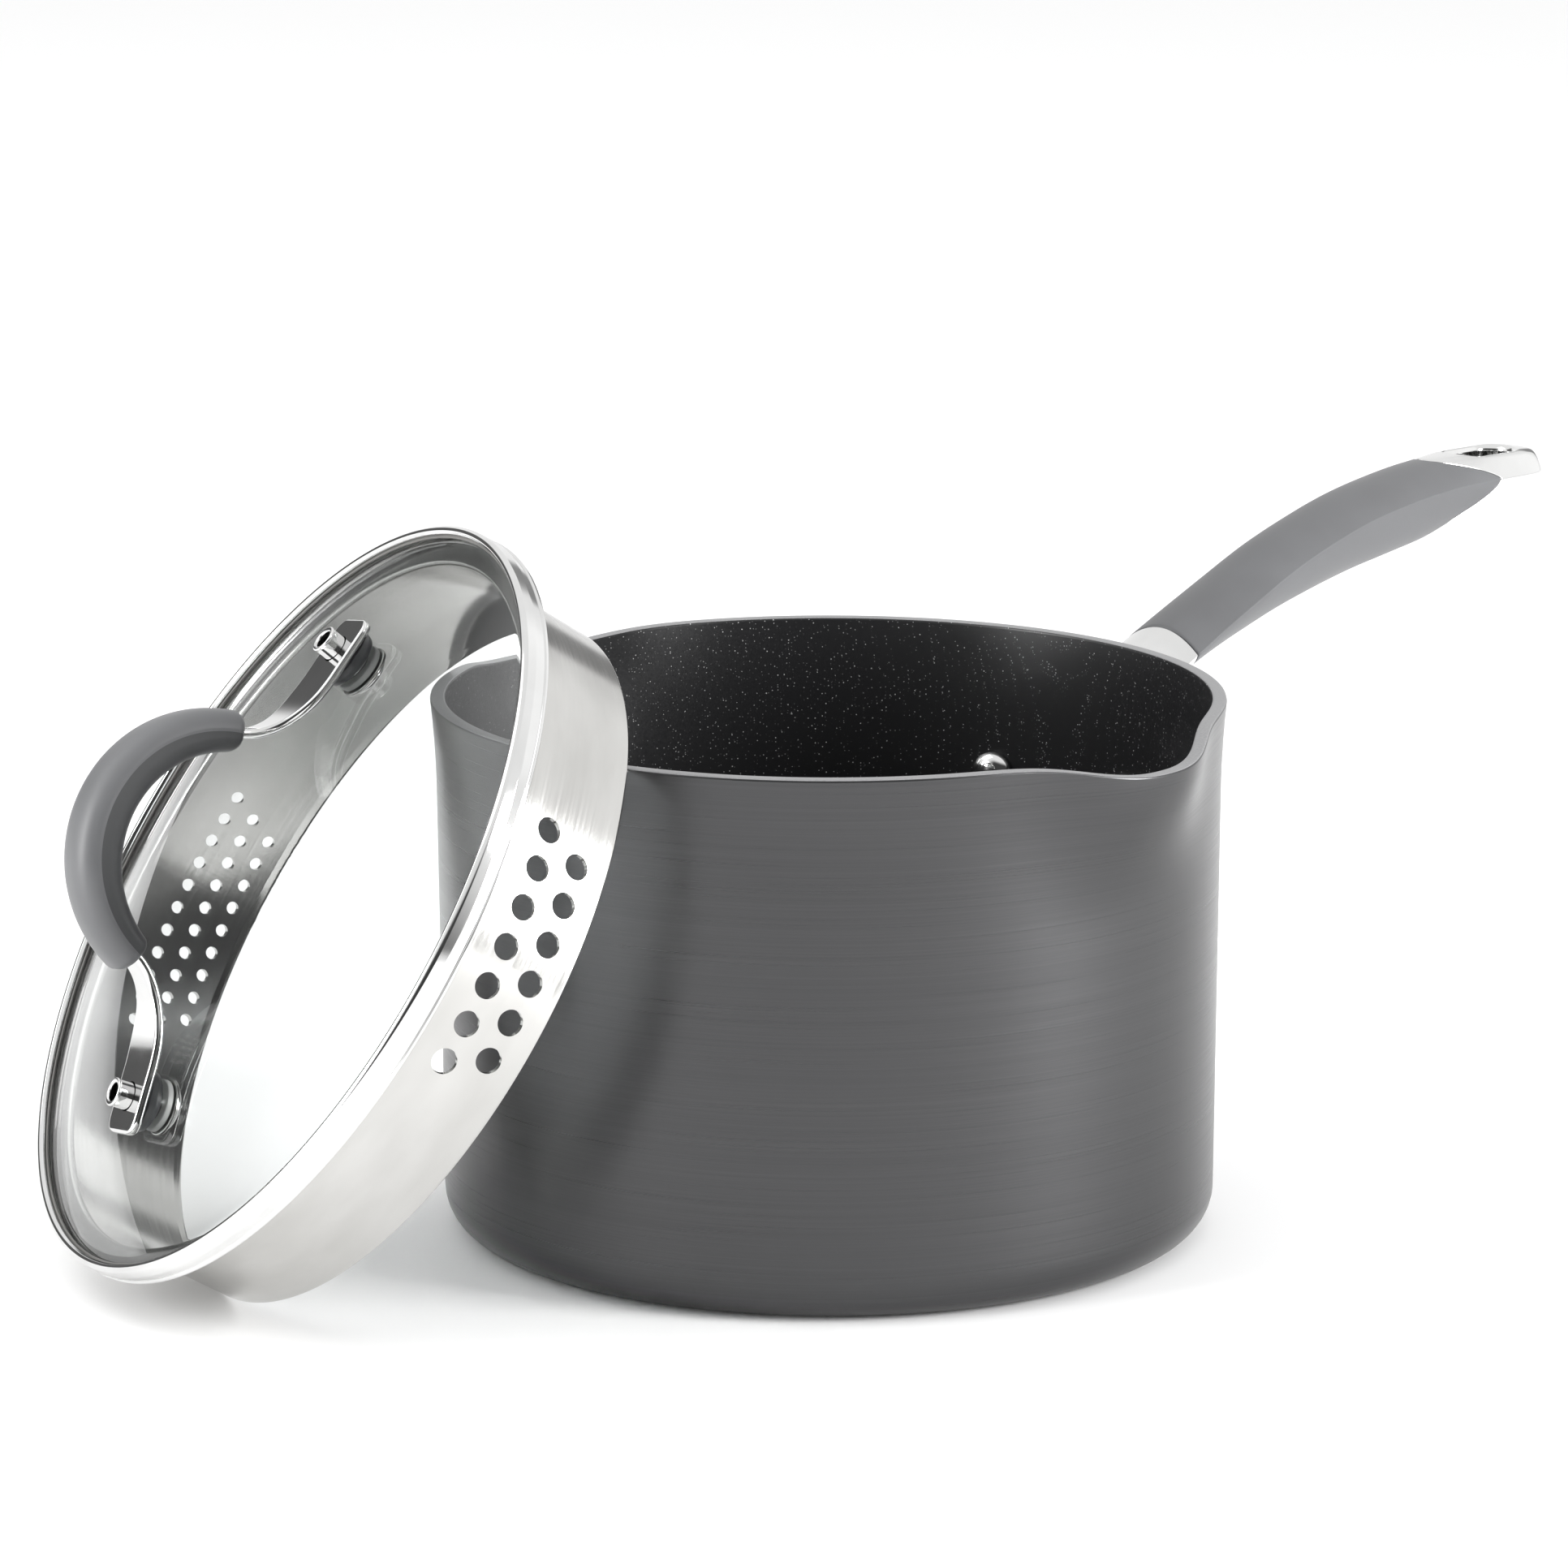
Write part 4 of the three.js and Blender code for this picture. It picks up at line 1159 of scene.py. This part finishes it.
def sky():
    """A white surround with darker stretches, and a brighter one, for the steel to pick up."""
    world = bpy.data.worlds.new("surround")
    bpy.context.scene.world = world
    world.use_nodes = True
    tree = world.node_tree

    def made(kind, operation, *values):
        node = tree.nodes.new(kind)
        node.operation = operation
        for socket, value in zip(node.inputs, values):
            if isinstance(value, bpy.types.NodeSocket):
                tree.links.new(value, socket)
            else:
                socket.default_value = value
        return node

    def ramp(value, start, end, low, high):
        node = tree.nodes.new("ShaderNodeMapRange")
        node.interpolation_type = "SMOOTHSTEP"
        ends = zip(("From Min", "From Max", "To Min", "To Max"), (start, end, low, high))
        for name, number in ends:
            node.inputs[name].default_value = number
        tree.links.new(value, node.inputs["Value"])
        return node.outputs["Result"]

    direction = tree.nodes.new("ShaderNodeTexCoord").outputs["Generated"]
    flat = made("ShaderNodeVectorMath", "MULTIPLY", direction, (1, 1, 0)).outputs["Vector"]
    level = made("ShaderNodeVectorMath", "NORMALIZE", flat).outputs["Vector"]
    height = tree.nodes.new("ShaderNodeSeparateXYZ")
    tree.links.new(direction, height.inputs[0])
    strength = SKY_STRENGTH
    for turn, full, end, high, gone, shade in SKY_SHADES:
        middle = polar(1, CAMERA_BEARING + turn)
        facing = made("ShaderNodeVectorMath", "DOT_PRODUCT", level, middle).outputs["Value"]
        edges = math.cos(math.radians(end)), math.cos(math.radians(full))
        across = ramp(facing, *edges, 0.0, 1.0)
        below = ramp(height.outputs["Z"], high, gone, 1.0, 0.0)
        inside = made("ShaderNodeMath", "MULTIPLY", across, below).outputs[0]
        dimmed = ramp(inside, 0.0, 1.0, 1.0, shade)
        strength = made("ShaderNodeMath", "MULTIPLY", strength, dimmed).outputs[0]
    background = tree.nodes["Background"]
    background.inputs["Color"].default_value = (1, 1, 1, 1)
    tree.links.new(strength, background.inputs["Strength"])


def camera():
    data = bpy.data.cameras.new("camera")
    data.lens = CAMERA_LENS
    data.sensor_width = 36
    data.clip_end = 50
    made = bpy.data.objects.new("camera", data)
    bpy.context.scene.collection.objects.link(made)
    up = math.radians(CAMERA_ELEVATION)
    reach = CAMERA_DISTANCE
    away = polar(reach * math.cos(up), CAMERA_BEARING, reach * math.sin(up))
    made.location = CAMERA_TARGET + away
    made.rotation_euler = (-away).to_track_quat("-Z", "Y").to_euler()
    bpy.context.scene.camera = made


# ------------------------------------------------------------------ assembly


def build():
    steel = polished()
    satin = satin_steel(LID_AXIS)
    rubber = silicone("seal_silicone", (0.035, 0.037, 0.039), (0.055, 0.058, 0.061), 0.4)
    seal = silicone("rim_seal_silicone", (0.11, 0.108, 0.102), (0.15, 0.147, 0.14), 0.45)
    clear_rubber = silicone("pale_silicone", (0.42, 0.42, 0.41), (0.5, 0.5, 0.49), 0.4)
    pan_body()
    handle_grip()
    handle_casting(steel)
    handle_rivet("handle_rivet_left", 1, steel)
    handle_rivet("handle_rivet_right", -1, steel)
    lid_skirt(satin)
    lid_band(steel)
    lid_gasket(seal)
    lid_glass(clear_glass())
    lid_strap(steel)
    lid_grip()
    for side in (-1, 1):
        lid_stack(side, steel, satin, rubber, clear_rubber)


bpy.context.scene.view_settings.view_transform = "Standard"
camera()
sky()
floor()
softbox("key", 130, 50, 2.6, (1.6, 1.6), 12)
softbox("right", -72, 12, 2.2, (0.8, 1.6), 80)
softbox("left", 152, 12, 2.2, (0.8, 1.6), 52)
build()
